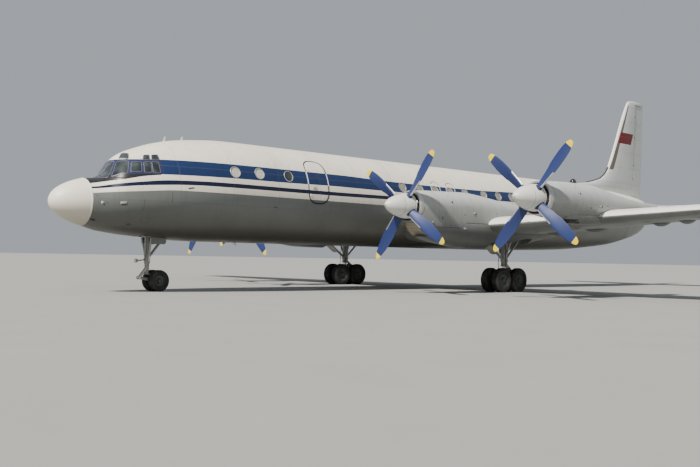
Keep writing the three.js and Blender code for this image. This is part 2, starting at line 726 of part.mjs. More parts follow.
function wheelPair(x, y, size, sides) {
  const rim = size.radius * RIM_SHARE - SEAT;
  const half = size.track / 2;
  const face = half + size.width * HUB.flange;
  const inner = half - size.width * HUB.flange;
  const well = face - HUB.wellDepth;
  const side = [
    [AXLE_RADIUS, inner], [rim, inner], [rim, face], [rim * HUB.dish, face], [rim * HUB.well, well],
    [HUB.boss, well], [HUB.cap, face + HUB.capReach], [0, face + HUB.capReach],
  ];
  const profile = [...side.map(([r, d]) => [r, x - d]).reverse(), ...side.map(([r, d]) => [r, x + d])];
  return turned(profile, y, size.radius, sides, Math.PI / sides);
}

function makeWheels() {
  for (const [side, sign] of [['port', 1], ['starboard', -1]]) {
    for (const [place, along] of [['front', -1], ['rear', 1]]) {
      const y = aft(MAIN.station) + (along * MAIN.wheelbase) / 2;
      addPiece(`main_axle_${place}_${side}`, wheelPair(sign * MAIN.span, y, MAIN, WHEEL_ROUND), 'metal');
      for (const [hand, out] of [['inboard', -1], ['outboard', 1]]) {
        const x = sign * (MAIN.span + (out * MAIN.track) / 2);
        addPiece(`main_tyre_${place}_${hand}_${side}`, tyre(x, y, MAIN, WHEEL_ROUND), 'tyre');
      }
    }
  }
  const y = aft(NOSE.station);
  addPiece('nose_axle', wheelPair(0, y, NOSE, WHEEL_ROUND), 'metal');
  addPiece('nose_tyre_port', tyre(NOSE.track / 2, y, NOSE, WHEEL_ROUND), 'tyre');
  addPiece('nose_tyre_starboard', tyre(-NOSE.track / 2, y, NOSE, WHEEL_ROUND), 'tyre');
}

// Legs. The hole's flats face the corners of the axle.
function axleHole(x, y, z) {
  const radius = AXLE_RADIUS + BEARING_GAP;
  const [left, right] = [x - AXLE_HOLE_HALF, x + AXLE_HOLE_HALF];
  const profile = [[0, left], [radius, left], [radius, right], [0, right]];
  return turned(profile, y, z, WHEEL_ROUND);
}

function makeMainLeg() {
  const x = MAIN.span;
  const y = aft(MAIN.station);
  const z = MAIN.radius;
  const roof = MAIN_BAY.roof - SEAT;
  const reach = MAIN.wheelbase / 2;
  const { half, eye, eyeHalf, saddleHalf, saddleReach, saddleLow, saddleHigh } = BOGIE;
  const [front, back] = [y - saddleReach, y + saddleReach];
  const saddle = box(x - saddleHalf, x + saddleHalf, front, back, z - saddleLow, z + saddleHigh);
  const eyeAt = (d) => cylinder(eye, point(x - eyeHalf, y + d, z), point(x + eyeHalf, y + d, z));
  const spar = box(x - half, x + half, y - reach, y + reach, z - half, z + half);
  const beam = join(spar, saddle, eyeAt(-reach), eyeAt(reach));
  const bogie = cut(beam, ...[-reach, reach].map((d) => axleHole(x, y + d, z)));
  const strut = MAIN_LEG;
  const mount = roof - strut.mountDrop;
  const joint = point(x, y, strut.joint);
  const [left, right] = [-1, 1].map((side) => cylinder(
    strut.sideStrut, joint, point(x + side * strut.sideReach, y - strut.crossAhead, mount),
  ));
  const cross = [-1, 1].map((side) => point(x + side * strut.crossReach, y - strut.crossAhead, mount));
  const leg = join(
    cylinder(strut.piston, point(x, y, z + saddleHigh + SEAT), point(x, y, strut.pistonTop)),
    cylinder(strut.cylinder, point(x, y, strut.cylinderFoot), point(x, y, roof)),
    cylinder(strut.dragStrut, joint, point(x, y - strut.dragReach, mount)),
    cylinder(strut.aftStrut, joint, point(x, y + strut.aftReach, mount)),
    cylinder(strut.crossTube, ...cross),
    left,
    right,
    ...SCISSORS.map(([wide, from, to, low, high]) => box(x - wide, x + wide, y + from, y + to, low, high)),
  );
  for (const [side, mirror] of [['port', (g) => g], ['starboard', mirrored]]) {
    addPiece(`main_leg_${side}`, mirror(leg), 'metal');
    addPiece(`main_bogie_${side}`, mirror(bogie), 'metal');
  }
}

function makeNoseLeg() {
  const strut = NOSE_LEG;
  const y = aft(NOSE.pivot);
  const joint = point(0, y, strut.joint);
  const ahead = [-1, 1].map((side) => point(side * strut.crossReach, y - strut.crossAhead, strut.crossZ));
  const behind = [-1, 1].map((side) => point(side * strut.crossReach, y + strut.aftReach, strut.aftZ));
  const [left, right] = [-1, 1].map((side) => cylinder(
    strut.sideStrut, joint, point(side * strut.sideReach, y - strut.crossAhead, strut.crossZ),
  ));
  const leg = join(
    cylinder(strut.cylinder, point(0, y, strut.foot), point(0, y, NOSE_BAY.roof - SEAT)),
    cylinder(strut.aftTube, point(0, y, strut.aftJoint), point(0, y + strut.aftReach, strut.aftZ)),
    cylinder(strut.crossTube, ...ahead),
    cylinder(strut.aftTube, ...behind),
    left,
    right,
  );
  addPiece('nose_leg', leg, 'metal');
  const part = NOSE_FORK;
  const axle = point(0, aft(NOSE.station), NOSE.radius);
  const knee = point(0, y - part.kneeAhead, part.kneeZ);
  const fork = join(
    cylinder(part.stem, point(0, y, part.stemFoot), point(0, y, strut.foot - SEAT)),
    cylinder(part.arm, point(0, y, part.armTop), knee, LEG_ROUND, part.armEnd),
    cylinder(part.knee, point(-part.kneeHalf, knee.y, knee.z), point(part.kneeHalf, knee.y, knee.z)),
    cylinder(part.lever, knee, axle, LEG_ROUND, part.arm),
    cylinder(part.damper, point(0, y, part.damperTop), point(0, axle.y - part.damperAhead, part.damperZ)),
    cylinder(part.boss, point(-part.bossHalf, axle.y, axle.z), point(part.bossHalf, axle.y, axle.z)),
  );
  addPiece('nose_fork', cut(fork, axleHole(0, axle.y, axle.z)), 'metal');
}

makeFuselage();
makeRadome();
makeFin();
makeTailplane();
makeWing();
makeEngines();
makeWheels();
makeMainLeg();
makeNoseLeg();

export default airliner;
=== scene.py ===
"""A parked airliner with four propeller engines, in metres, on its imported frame.
X runs to port, Y runs aft and Z is up. A station is a distance aft of the nose tip."""
import math
from functools import partial

import bpy
import numpy as np
from mathutils import Matrix


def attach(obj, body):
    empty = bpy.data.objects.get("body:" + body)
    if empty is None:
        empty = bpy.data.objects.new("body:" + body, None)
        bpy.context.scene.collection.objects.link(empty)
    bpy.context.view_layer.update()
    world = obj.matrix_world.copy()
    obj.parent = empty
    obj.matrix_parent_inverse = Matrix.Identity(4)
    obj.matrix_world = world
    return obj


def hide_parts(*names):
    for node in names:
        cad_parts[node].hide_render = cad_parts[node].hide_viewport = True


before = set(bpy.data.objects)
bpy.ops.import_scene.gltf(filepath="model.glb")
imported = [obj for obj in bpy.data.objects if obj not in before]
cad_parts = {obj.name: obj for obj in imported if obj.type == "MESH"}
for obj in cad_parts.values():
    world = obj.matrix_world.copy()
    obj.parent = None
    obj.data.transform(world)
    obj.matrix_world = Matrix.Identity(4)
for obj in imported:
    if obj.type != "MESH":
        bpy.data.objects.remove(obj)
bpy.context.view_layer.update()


# The floor is one pale sheet that runs out of sight under a pale sky.
# A wide soft sun stands high ahead of the nose, and the sky fills the shade.
def grid(rows, wrap=True, caps=(True, True), material=0, inside=None):
    """Faces between neighbours of a grid of points. wrap joins the last column to the first.
    caps closes an end with a fan to its middle. The faces are turned to look away from inside."""
    rows = np.asarray(rows, float)
    number = np.arange(rows.shape[0] * rows.shape[1]).reshape(rows.shape[:2])
    if wrap:
        number = np.hstack([number, number[:, :1]])
    quads = np.stack([number[:-1, :-1], number[:-1, 1:], number[1:, 1:], number[1:, :-1]], -1).reshape(-1, 4)
    points = rows.reshape(-1, 3)
    fans = [np.zeros((0, 3), int)]
    for end, ring, step in ((0, number[0], 1), (-1, number[-1], -1)):
        if wrap and caps[end]:
            middle = np.full(len(ring) - 1, len(points))
            points = np.vstack([points, rows[end].mean(axis=0)])
            fans.append(np.stack([ring[:-1], middle, ring[1:]], -1)[:, ::step])
    fans = np.vstack(fans)
    out = points - (points.mean(axis=0) if inside is None else inside)
    corners = np.vstack([quads[:, [0, 1, 2]], quads[:, [0, 2, 3]], fans])
    volume = np.einsum("ij,ij->", out[corners[:, 0]], np.cross(out[corners[:, 1]], out[corners[:, 2]]))
    if volume < 0:
        quads = quads[:, ::-1]
        fans = fans[:, ::-1]
    return points, quads, fans, material


SHARP_ANGLE = math.radians(35)


def piece(name, parts, materials, node_name=None, body="airframe"):
    """One object from several parts. It rides on a body, and may stand for a node of the frame."""
    faces = []
    tints = []
    first = 0
    for own, quads, fans, material in parts:
        faces += (quads + first).tolist() + (fans + first).tolist()
        tints += [material] * (len(quads) + len(fans))
        first += len(own)
    mesh = bpy.data.meshes.new(name)
    mesh.from_pydata(np.vstack([part[0] for part in parts]).tolist(), [], faces)
    mesh.polygons.foreach_set("material_index", tints)
    mesh.polygons.foreach_set("use_smooth", [True] * len(faces))
    mesh.set_sharp_from_angle(angle=SHARP_ANGLE)
    for material in materials:
        mesh.materials.append(material)
    obj = bpy.data.objects.new(name, mesh)
    bpy.context.scene.collection.objects.link(obj)
    if body:
        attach(obj, body)
    if node_name:
        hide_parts(node_name)
    return obj


def node(tree, kind, inputs=None, **settings):
    """Adds a node. Each input is a value or a socket that is linked to it."""
    made = tree.nodes.new("ShaderNode" + kind)
    for key, value in settings.items():
        setattr(made, key, value)
    for key, value in (inputs or {}).items():
        if isinstance(value, bpy.types.NodeSocket):
            tree.links.new(value, made.inputs[key])
        else:
            made.inputs[key].default_value = value
    return made


def tree_of(*values):
    """The node tree of the first socket among some values."""
    return next(value.id_data for value in values if isinstance(value, bpy.types.NodeSocket))


def blend(share, low, high, mode="MIX"):
    """The mix of two colours by a share. Each of the three is a socket or plain numbers."""
    colours = [value if isinstance(value, bpy.types.NodeSocket) else (*value, 1) for value in (low, high)]
    inputs = {0: share, 6: colours[0], 7: colours[1]}
    return node(tree_of(share, low, high), "Mix", inputs, data_type="RGBA", blend_type=mode).outputs[2]


def noise(place, scale, detail, **more):
    """Soft blotches, nought to one. A larger scale makes them smaller."""
    inputs = {"Vector": place, "Scale": scale, "Detail": detail, **more}
    return node(tree_of(place), "TexNoise", inputs).outputs[0]


def ramp(value, low, high):
    """Rises from nought to one as a value goes from low to high, and stays level beyond."""
    return node(tree_of(value), "MapRange", {0: value, 1: low, 2: high}).outputs[0]


def feed(shader, title, socket):
    """Links a socket to an input of a shader."""
    shader.id_data.links.new(socket, shader.inputs[title])


def bumped(shader, height, distance, strength=0.6):
    """A height in metres that varies over the surface tilts the light on it."""
    inputs = {"Height": height, "Distance": distance, "Strength": strength}
    feed(shader, "Normal", node(tree_of(height), "Bump", inputs).outputs["Normal"])


def material_with(name, colour, roughness, metallic=0.0, coat=0.0):
    """A new material, its shader, and the place on the piece that its other nodes start from."""
    material = bpy.data.materials.new(name)
    material.use_nodes = True
    shader = material.node_tree.nodes["Principled BSDF"]
    for title, value in (("Roughness", roughness), ("Metallic", metallic), ("Coat Weight", coat)):
        shader.inputs[title].default_value = value
    shader.inputs["Base Color"].default_value = (*colour, 1)
    return material, shader, node(material.node_tree, "TexCoord").outputs["Object"]


def mottled(name, colour, roughness, pattern, low, high, metallic=0.0, coat=0.0, relief=0.0):
    """A material whose colour wanders between two. The pattern is the scale and detail of a noise,
    and the two levels of it that give the colours. relief is its height in metres."""
    material, shader, place = material_with(name, colour, roughness, metallic, coat)
    share = noise(place, *pattern[:2])
    if relief:
        bumped(shader, share, relief)
    if len(pattern) > 2:
        share = ramp(share, *pattern[2:])
    feed(shader, "Base Color", blend(share, low, high))
    return material


concrete = mottled("pale_floor", (0.3, 0.3, 0.288), 0.85, (0.6, 6),
                   (0.285, 0.285, 0.272), (0.32, 0.32, 0.306))
reach = np.linspace(-600, 600, 5)
across, along = np.meshgrid(reach, reach)
sheet = grid(np.stack([across, along, 0 * across - 0.001], -1), wrap=False, inside=(0, 0, -50))
piece("floor", [sheet], [concrete], body=None)

world = bpy.data.worlds.new("pale sky")
bpy.context.scene.world = world
world.use_nodes = True
sky = world.node_tree.nodes["Background"]
sky.inputs["Color"].default_value = (0.86, 0.92, 1.0, 1)
sky.inputs["Strength"].default_value = 0.46

lamp = bpy.data.lights.new("soft sun", "SUN")
lamp.energy = 7.4
lamp.angle = math.radians(3.5)
lamp.color = (1.0, 0.965, 0.9)
sun = bpy.data.objects.new("soft sun", lamp)
TOWARDS_SUN = np.array([0.12, -0.665, 0.737])
tilt = math.acos(TOWARDS_SUN[2] / np.linalg.norm(TOWARDS_SUN))
sun.rotation_euler = (tilt, 0, math.atan2(TOWARDS_SUN[1], TOWARDS_SUN[0]) + math.pi / 2)
bpy.context.scene.collection.objects.link(sun)

EYE = np.array([26.475, -30.626, 1.23])
YAW, PITCH, ROLL = np.radians([46.403, 1.473, 1.052])
FOCAL_PIXELS = 928.734
PHOTO_WIDTH = 700
ahead = np.array([-math.sin(YAW) * math.cos(PITCH), math.cos(YAW) * math.cos(PITCH), math.sin(PITCH)])
level = np.cross(ahead, [0, 0, 1])
level = level / np.linalg.norm(level)
upward = np.cross(level, ahead)
lens = bpy.data.cameras.new("camera")
lens.sensor_width = 36
lens.lens = FOCAL_PIXELS * lens.sensor_width / PHOTO_WIDTH
lens.clip_end = 2000
camera = bpy.data.objects.new("camera", lens)
turned = np.eye(4)
turned[:3, 0] = math.cos(ROLL) * level + math.sin(ROLL) * upward
turned[:3, 1] = math.cos(ROLL) * upward - math.sin(ROLL) * level
turned[:3, 2] = -ahead
turned[:3, 3] = EYE
camera.matrix_world = Matrix(turned.tolist())
bpy.context.scene.collection.objects.link(camera)
bpy.context.scene.camera = camera


# The paint is weathered: faint streaks and blotches of dirt, and a gloss that time has broken up.
# The skin is sheet metal in panels, with a row of rivets along both sides of each joint.
def maths(operation, *values):
    """One arithmetic step on sockets and numbers."""
    return node(tree_of(*values), "Math", dict(enumerate(values)), operation=operation).outputs[0]


plus = partial(maths, "ADD")
minus = partial(maths, "SUBTRACT")
times = partial(maths, "MULTIPLY")
over = partial(maths, "DIVIDE")
size = partial(maths, "ABSOLUTE")
larger = partial(maths, "MAXIMUM")
above = partial(maths, "GREATER_THAN")
below = partial(maths, "LESS_THAN")


def new_group(name, inputs, outputs):
    """An empty shader node group with its named sockets. Inputs are numbers, but for a place."""
    group = bpy.data.node_groups.new(name, "ShaderNodeTree")
    for title in inputs:
        kind = "NodeSocketVector" if title == "Place" else "NodeSocketFloat"
        group.interface.new_socket(title, in_out="INPUT", socket_type=kind)
    for title in outputs:
        group.interface.new_socket(title, in_out="OUTPUT", socket_type="NodeSocketFloat")
    return group, group.nodes.new("NodeGroupInput").outputs, group.nodes.new("NodeGroupOutput")


weather, given, result = new_group(
    "weathering", ["Place", "Streaks", "Base Roughness"], ["Dirt", "Roughness", "Height"])
stretched = node(weather, "Mapping", {"Vector": given["Place"], "Scale": (1.0, 1.0, 0.16)}).outputs[0]
streak = noise(stretched, 4.5, 5, Roughness=0.62)
blotch = noise(given["Place"], 0.9, 6)
speck = noise(given["Place"], 38, 3)
soiled = times(plus(ramp(streak, 0.5, 0.78), ramp(blotch, 0.42, 0.75)), given["Streaks"])
feed(result, "Dirt", maths("MINIMUM", soiled, 1.0))
rough = plus(given["Base Roughness"], times(minus(blotch, 0.5), 0.3))
feed(result, "Roughness", plus(rough, times(speck, 0.08)))
feed(result, "Height", plus(noise(given["Place"], 1.6, 2), times(speck, 0.03)))

RIVET_PITCH = 0.05
RIVET_RADIUS = 0.006
RIVET_FROM_JOINT = 0.022
joints, given, result = new_group("panel joints", ["Along", "Across", "Pitch", "Width"], ["Joint", "Rivets"])
offset = minus(maths("FRACT", over(given["Along"], given["Pitch"])), 0.5)
distance = times(size(offset), given["Pitch"])
feed(result, "Joint", below(distance, given["Width"]))
beside = size(minus(distance, RIVET_FROM_JOINT))
step = times(minus(maths("FRACT", over(given["Across"], RIVET_PITCH)), 0.5), RIVET_PITCH)
apart = plus(maths("POWER", beside, 2.0), maths("POWER", step, 2.0))
feed(result, "Rivets", below(apart, RIVET_RADIUS ** 2))


def worn_at(place, streaks, roughness):
    """The weathering of one material."""
    inputs = {"Place": place, "Streaks": streaks, "Base Roughness": roughness}
    return node(tree_of(place), "Group", inputs, node_tree=weather).outputs


JOINT_WIDTH = 0.004
NO_JOINTS = (50.0, 50.0)


def sheet_metal(name, colour, roughness, streaks, pitches=(1.6, 0.9), colour_of=None, metallic=0.0):
    """Paint on riveted panels. pitches are the distances between joints along Y and up Z.
    colour_of(split) may give the colour from the place on the piece."""
    material, shader, place = material_with(name, colour, roughness, metallic)
    split = node(tree_of(place), "SeparateXYZ", {"Vector": place}).outputs
    worn = worn_at(place, streaks, roughness)
    rows = []
    for pitch, along, across in ((pitches[0], "Y", "Z"), (pitches[1], "Z", "Y")):
        inputs = {"Along": split[along], "Across": split[across], "Pitch": pitch, "Width": JOINT_WIDTH}
        rows.append(node(tree_of(place), "Group", inputs, node_tree=joints).outputs)
    joint = larger(rows[0]["Joint"], rows[1]["Joint"])
    rivet = larger(rows[0]["Rivets"], rows[1]["Rivets"])
    base = colour
    dark = tuple(0.62 * c for c in colour)
    if colour_of:
        base = colour_of(split)
        dark = blend(1.0, base, (0.62, 0.6, 0.56), "MULTIPLY")
    dirty = blend(times(worn["Dirt"], 0.5), base, dark)
    marked = larger(times(joint, 0.62), times(rivet, 0.25))
    feed(shader, "Base Color", blend(marked, dirty, (0.09, 0.09, 0.09)))
    feed(shader, "Roughness", worn["Roughness"])
    bumped(shader, plus(minus(times(worn["Height"], 0.9), joint), times(rivet, 0.35)), 0.004, 0.5)
    return material


def worn_metal(name, colour, roughness, streaks, clean, dirty, depth, strength=0.6, metallic=0.0):
    """A weathered surface without joints: two colours by the dirt, an uneven gloss and fine dents."""
    material, shader, place = material_with(name, colour, roughness, metallic)
    worn = worn_at(place, streaks, roughness)
    feed(shader, "Base Color", blend(worn["Dirt"], clean, dirty))
    feed(shader, "Roughness", worn["Roughness"])
    bumped(shader, worn["Height"], depth, strength)
    return material


# The fuselage is a round tube of thin alloy sheet on hoops and stringers, tapered at both ends.
# It is painted cream above and grey below, with a blue band at the windows and a thin line under it.
LENGTH = 35.9
BODY = np.array([
    # station, top, bottom, half width, height of the widest point
    [1.05, 3.53, 2.06, 0.735, 2.795],
    [1.56, 3.59, 1.925, 0.94, 2.8],
    [1.8, 3.81, 1.89, 1.025, 2.83],
    [2.05, 4.18, 1.858, 1.11, 2.87],
    [2.35, 4.42, 1.82, 1.2, 2.91],
    [2.7, 4.575, 1.795, 1.295, 2.96],
    [3.43, 4.825, 1.73, 1.46, 3.09],
    [4.19, 4.995, 1.69, 1.59, 3.22],
    [4.98, 5.09, 1.672, 1.685, 3.33],
    [6.0, 5.16, 1.67, 1.742, 3.405],
    [7.2, 5.17, 1.67, 1.75, 3.42],
    [18.3, 5.17, 1.67, 1.75, 3.42],
    [21.5, 5.17, 1.69, 1.75, 3.43],
    [24.5, 5.165, 1.74, 1.735, 3.455],
    [27.0, 5.15, 1.82, 1.65, 3.5],
    [29.0, 5.11, 1.96, 1.48, 3.56],
    [31.0, 5.04, 2.14, 1.23, 3.64],
    [33.0, 4.92, 2.48, 0.9, 3.76],
    [34.4, 4.79, 2.83, 0.6, 3.9],
    [35.2, 4.65, 3.25, 0.38, 4.05],
    [35.7, 4.5, 3.8, 0.17, 4.18],
    [35.9, 4.37, 4.15, 0.06, 4.27],
])


def aft(station):
    """The Y of a station."""
    return station - LENGTH / 2


def read_table(table, at):
    """Each column of a table between its rows, by cubics whose slopes never overshoot a row."""
    at = np.atleast_1d(np.asarray(at, float))
    steps = np.diff(table[:, 0])[:, None]
    slopes = np.diff(table[:, 1:], axis=0) / steps
    product = slopes[1:] * slopes[:-1]
    total = np.where(product > 0, slopes[1:] + slopes[:-1], 1.0)
    inner = np.where(product > 0, 2 * product / total, 0.0)
    tangents = np.vstack([slopes[:1], inner, slopes[-1:]])
    row = np.clip(np.searchsorted(table[:, 0], at, side="right") - 1, 0, len(table) - 2)
    t = ((at - table[row, 0]) / steps[row, 0])[:, None]
    rise = steps[row]
    curve = (2 * t**3 - 3 * t**2 + 1) * table[row, 1:] + (t**3 - 2 * t**2 + t) * rise * tangents[row]
    return curve + (3 * t**2 - 2 * t**3) * table[row + 1, 1:] + (t**3 - t**2) * rise * tangents[row + 1]


def all_alike(*values):
    """Numbers and arrays as arrays of one shape."""
    return np.broadcast_arrays(*(np.asarray(value, float) for value in values))


def off_skin(skin, rise, half, angle, out):
    """Points moved off an elliptical skin along its normal in the plane of the section."""
    normal = np.stack([rise * np.cos(angle), 0 * angle, half * np.sin(angle)], -1)
    return skin + normal / np.linalg.norm(normal, axis=-1, keepdims=True) * out[..., None]


def on_body(station, angle, out=0.0):
    """A point on the fuselage: an ellipse for each half of the section, and a step off the skin."""
    station, angle, out = all_alike(station, angle, out)
    top, bottom, half, wide = read_table(BODY, station.ravel()).T.reshape(4, *station.shape)
    rise = np.where(np.sin(angle) > 0, top - wide, wide - bottom)
    skin = np.stack([half * np.cos(angle), aft(station), wide + rise * np.sin(angle)], -1)
    return off_skin(skin, rise, half, angle, out)


def angle_at_height(station, height):
    """The angle round the fuselage at which its side has a height."""
    top, bottom, _, wide = read_table(BODY, station)[0]
    return math.asin((height - wide) / ((top - wide) if height > wide else (wide - bottom)))


def around(count):
    """Even steps of angle round a circle."""
    return np.arange(count) / count * 2 * np.pi


def circle(radius, count=32):
    """Points round a circle."""
    return radius * np.stack([np.cos(around(count)), np.sin(around(count))], -1)


def finer(outline, step=0.06):
    """The same outline with more points on its long sides, so that it can bend with the skin."""
    sides = np.roll(outline, -1, axis=0) - outline
    counts = np.maximum(np.ceil(np.linalg.norm(sides, axis=1) / step).astype(int), 1)
    owner = np.repeat(np.arange(len(outline)), counts)
    share = (np.arange(len(owner)) - (np.cumsum(counts) - counts)[owner]) / counts[owner]
    return outline[owner] + sides[owner] * share[:, None]


def rounded(corners, radius, steps=6):
    """A convex outline with round corners: each corner moves in, and an arc goes round it."""
    corners = np.asarray(corners, float)
    edges = np.roll(corners, -1, axis=0) - corners
    edges = edges / np.linalg.norm(edges, axis=1, keepdims=True)
    normals = np.stack([edges[:, 1], -edges[:, 0]], -1)
    before = np.roll(normals, 1, axis=0)
    middle = before + normals
    centres = corners - middle * (radius / (1 + np.einsum("ij,ij->i", before, normals)))[:, None]
    first = np.arctan2(before[:, 1], before[:, 0])
    turn = (np.arctan2(normals[:, 1], normals[:, 0]) - first) % (2 * np.pi)
    angles = first[:, None] + turn[:, None] * np.linspace(0, 1, steps)
    arcs = centres[:, None] + radius * np.stack([np.cos(angles), np.sin(angles)], -1)
    return finer(arcs.reshape(-1, 2))


def slab(half, low, high, corner, steps=6):
    """An oblong with round corners, as wide to both sides, between two heights."""
    return rounded([[-half, low], [half, low], [half, high], [-half, high]], corner, steps)


def plate(long, tall, corner, steps=6):
    """An oblong with round corners about its middle, from half its length and half its height."""
    return slab(long, -tall, tall, corner, steps)


def outline_rows(outline, profile):
    """An outline and its height off the skin for each row of a profile, which is the share of the
    outline, the distance outside it, and that height."""
    forward = np.roll(outline, -1, axis=0) - np.roll(outline, 1, axis=0)
    forward = forward / np.maximum(np.linalg.norm(forward, axis=1, keepdims=True), 1e-9)
    outward = np.stack([forward[:, 1], -forward[:, 0]], -1)
    return [(outline * share + outward * grow, out) for share, grow, out in profile]


OPEN = (False, False)
BODY_MIDDLE = 3.2


def fitted(station, angle, outline, profile, caps=(True, False), material=0):
    """Rings round an outline that lies on the fuselage, one for each row of a profile."""
    top, bottom, half, wide = read_table(BODY, station)[0]
    rise = (top - wide) if math.sin(angle) > 0 else (wide - bottom)
    girth = math.hypot(half * math.sin(angle), rise * math.cos(angle))
    rows = [on_body(station + flat[:, 0], angle + flat[:, 1] / girth, out)
            for flat, out in outline_rows(outline, profile)]
    return grid(rows, caps=caps, material=material, inside=(0, aft(station), BODY_MIDDLE))


DOORS = {
    # node: middle station, width, sill, head
    "entry_door_front": (9.32, 0.9, 3.15, 4.64),
    "entry_door_rear": (25.1, 0.9, 3.15, 4.64),
}
DOOR_CORNER = 0.33


def door_outline(middle, width, sill, head):
    """An upright door's outline with round corners, and the angle of its middle."""
    low = angle_at_height(middle, sill)
    high = angle_at_height(middle, head)
    top, _, _, wide = read_table(BODY, middle)[0]
    return plate(width / 2, (high - low) * (top - wide) / 2, DOOR_CORNER), (low + high) / 2


def box_part(x0, x1, y0, y1, z0, z1):
    """A closed box, as four upright sides and two ends."""
    plan = [(x0, y0), (x1, y0), (x1, y1), (x0, y1)]
    return grid([[(x, y, z) for x, y in plan] for z in (z0, z1)])


def combined(obj, operation, parts, material):
    """Takes closed parts out of a piece (DIFFERENCE), keeps what they share with it (INTERSECT) or
    adds them to it (UNION). The walls that the parts leave get their own material."""
    other = piece("other", parts, [material], body=None)
    step = obj.modifiers.new("combined", "BOOLEAN")
    step.object = other
    step.operation = operation
    step.solver = "EXACT"
    step.material_mode = "TRANSFER"
    mesh = bpy.data.meshes.new_from_object(obj.evaluated_get(bpy.context.evaluated_depsgraph_get()))
    obj.modifiers.remove(step)
    obj.data = mesh
    mesh.set_sharp_from_angle(angle=SHARP_ANGLE)
    bpy.data.objects.remove(other)


PAINTED_LINES = {
    # station and height along each edge
    "band top": [(1.42, 4.17), (2.18, 4.18), (3.2, 4.22), (5.2, 4.24), (10.3, 4.24), (12.8, 4.19),
                 (16, 4.17), (18.8, 4.19), (20.7, 4.24), (27, 4.31), (34.5, 4.36)],
    "band low": [(1.42, 3.66), (3.1, 3.73), (5.1, 3.76), (7.8, 3.77), (10.2, 3.8), (12.5, 3.79), (27, 3.88),
                 (34.5, 4.3)],
    "line top": [(1, 3.235), (1.24, 3.26), (1.86, 3.38), (2.52, 3.47), (3.23, 3.55), (3.75, 3.57),
                 (5.06, 3.59), (9.33, 3.585), (12, 3.6), (27, 3.76), (34, 4.2)],
    "line low": [(1, 3.18), (1.22, 3.195), (1.85, 3.275), (2.51, 3.35), (3.22, 3.4), (3.74, 3.43),
                 (5.05, 3.45), (9.33, 3.45), (12.6, 3.47), (27, 3.63), (34, 4.16)],
    "grey top": [(1, 3.04), (1.83, 3.12), (2.49, 3.17), (3.73, 3.25), (5, 3.25), (18, 3.24), (27, 3.3),
                 (31, 3.5), (35.9, 4.1)],
    "glare low": [(1, 3.33), (1.48, 3.42), (1.89, 3.5), (2.14, 3.55), (2.55, 3.64), (3.08, 3.71), (4, 3.78)],
}
LINE_SCALE = 10
BAND_START = 1.42
GLARE_END = 3.1
FRAME_END = 3.2


def curve_through(share, places, handle="AUTO_CLAMPED"):
    """A curve through places between nought and one, read at the share that a socket gives."""
    curve = node(tree_of(share), "FloatCurve", {"Value": share})
    points = curve.mapping.curves[0].points
    for index, place in enumerate(places):
        if index < 2:
            points[index].location = place
        else:
            points.new(*place)
    for point in points:
        point.handle_type = handle
    curve.mapping.update()
    return curve.outputs[0]


def between(value, low, high):
    """One where a value lies between two others, and nought elsewhere."""
    return times(above(value, low), below(value, high))


CREAM = (0.83, 0.78, 0.67)
GREY = (0.15, 0.16, 0.155)
# The darkest grey, at the keel, is painted shade and not a paint of its own.
SHADED_BELLY_GREY = (0.05, 0.046, 0.034)
BAND_BLUE = (0.007, 0.023, 0.088)
FRAME_BLUE = (0.02, 0.024, 0.075)
LINE_BLUE = (0.003, 0.006, 0.032)
GLARE_BLACK = (0.014, 0.014, 0.016)


def livery(split):
    """Cream, then the grey belly, the thin line, the black panel ahead of the cockpit and the band."""
    station = plus(split["Y"], LENGTH / 2)
    height = split["Z"]
    share = over(station, LENGTH)
    lines = {}
    for title, rows in PAINTED_LINES.items():
        places = [(at / LENGTH, high / LINE_SCALE) for at, high in rows]
        lines[title] = times(curve_through(share, places), LINE_SCALE)
    # The belly's grey is painted darker towards the keel: painted shade, for the little light that reaches
    # under the fuselage.
    belly = blend(ramp(height, 2.95, 1.75), GREY, SHADED_BELLY_GREY)
    colour = blend(below(height, lines["grey top"]), CREAM, belly)
    colour = blend(between(height, lines["line low"], lines["line top"]), colour, LINE_BLUE)
    ceiling = plus(lines["band low"], times(below(station, BAND_START), 9))
    black = times(between(height, lines["glare low"], ceiling), below(station, GLARE_END))
    colour = blend(black, colour, GLARE_BLACK)
    band = times(between(height, lines["band low"], lines["band top"]), above(station, BAND_START))
    return blend(band, colour, blend(below(station, FRAME_END), BAND_BLUE, FRAME_BLUE))


painted_skin = sheet_metal("painted_skin", CREAM, 0.34, 0.5, (1.9, 1.15), livery)
# The walls inside cut holes and bays are primer green, made much darker than real primer: painted shade.
inner_walls, shader, place = material_with("primed_metal", (0.12, 0.14, 0.12), 0.6)
worn = worn_at(place, 0.8, 0.6)
feed(shader, "Base Color", blend(worn["Dirt"], (0.13, 0.15, 0.13), (0.05, 0.05, 0.045)))
bumped(shader, worn["Height"], 0.003)

WINDOWS = [5.7, 6.7, 7.97, 13.76, 14.76, 15.69, 16.6, 17.58,
           18.84, 19.86, 20.8, 21.75, 22.7, 23.65, 26.6, 27.4]
WINDOW_RADIUS = 0.185
window_angle = angle_at_height(9, 4.01)
BOTH_WINDOW_ANGLES = (window_angle, np.pi - window_angle)
NOSE_BAY = (2.98, 3.98, 0.33, 2.15)
stations = np.unique(np.concatenate([
    np.linspace(1.05, 3, 26), np.linspace(3, 7.2, 22), np.linspace(7.2, 24, 30), np.linspace(24, 35.2, 42),
    np.linspace(35.2, 35.9, 12),
]))
skin = grid(on_body(stations[:, None], around(128)))
fuselage = piece("fuselage_skin", [skin], [painted_skin], "fuselage")
front, back, half, roof = NOSE_BAY
openings = [box_part(-half, half, aft(front), aft(back), 1, roof)]
for station in WINDOWS:
    for angle in BOTH_WINDOW_ANGLES:
        hole = circle(WINDOW_RADIUS + 0.012, 24)
        openings.append(fitted(station, angle, hole, [(1, 0, -0.05), (1, 0, 0.05)], (True, True)))
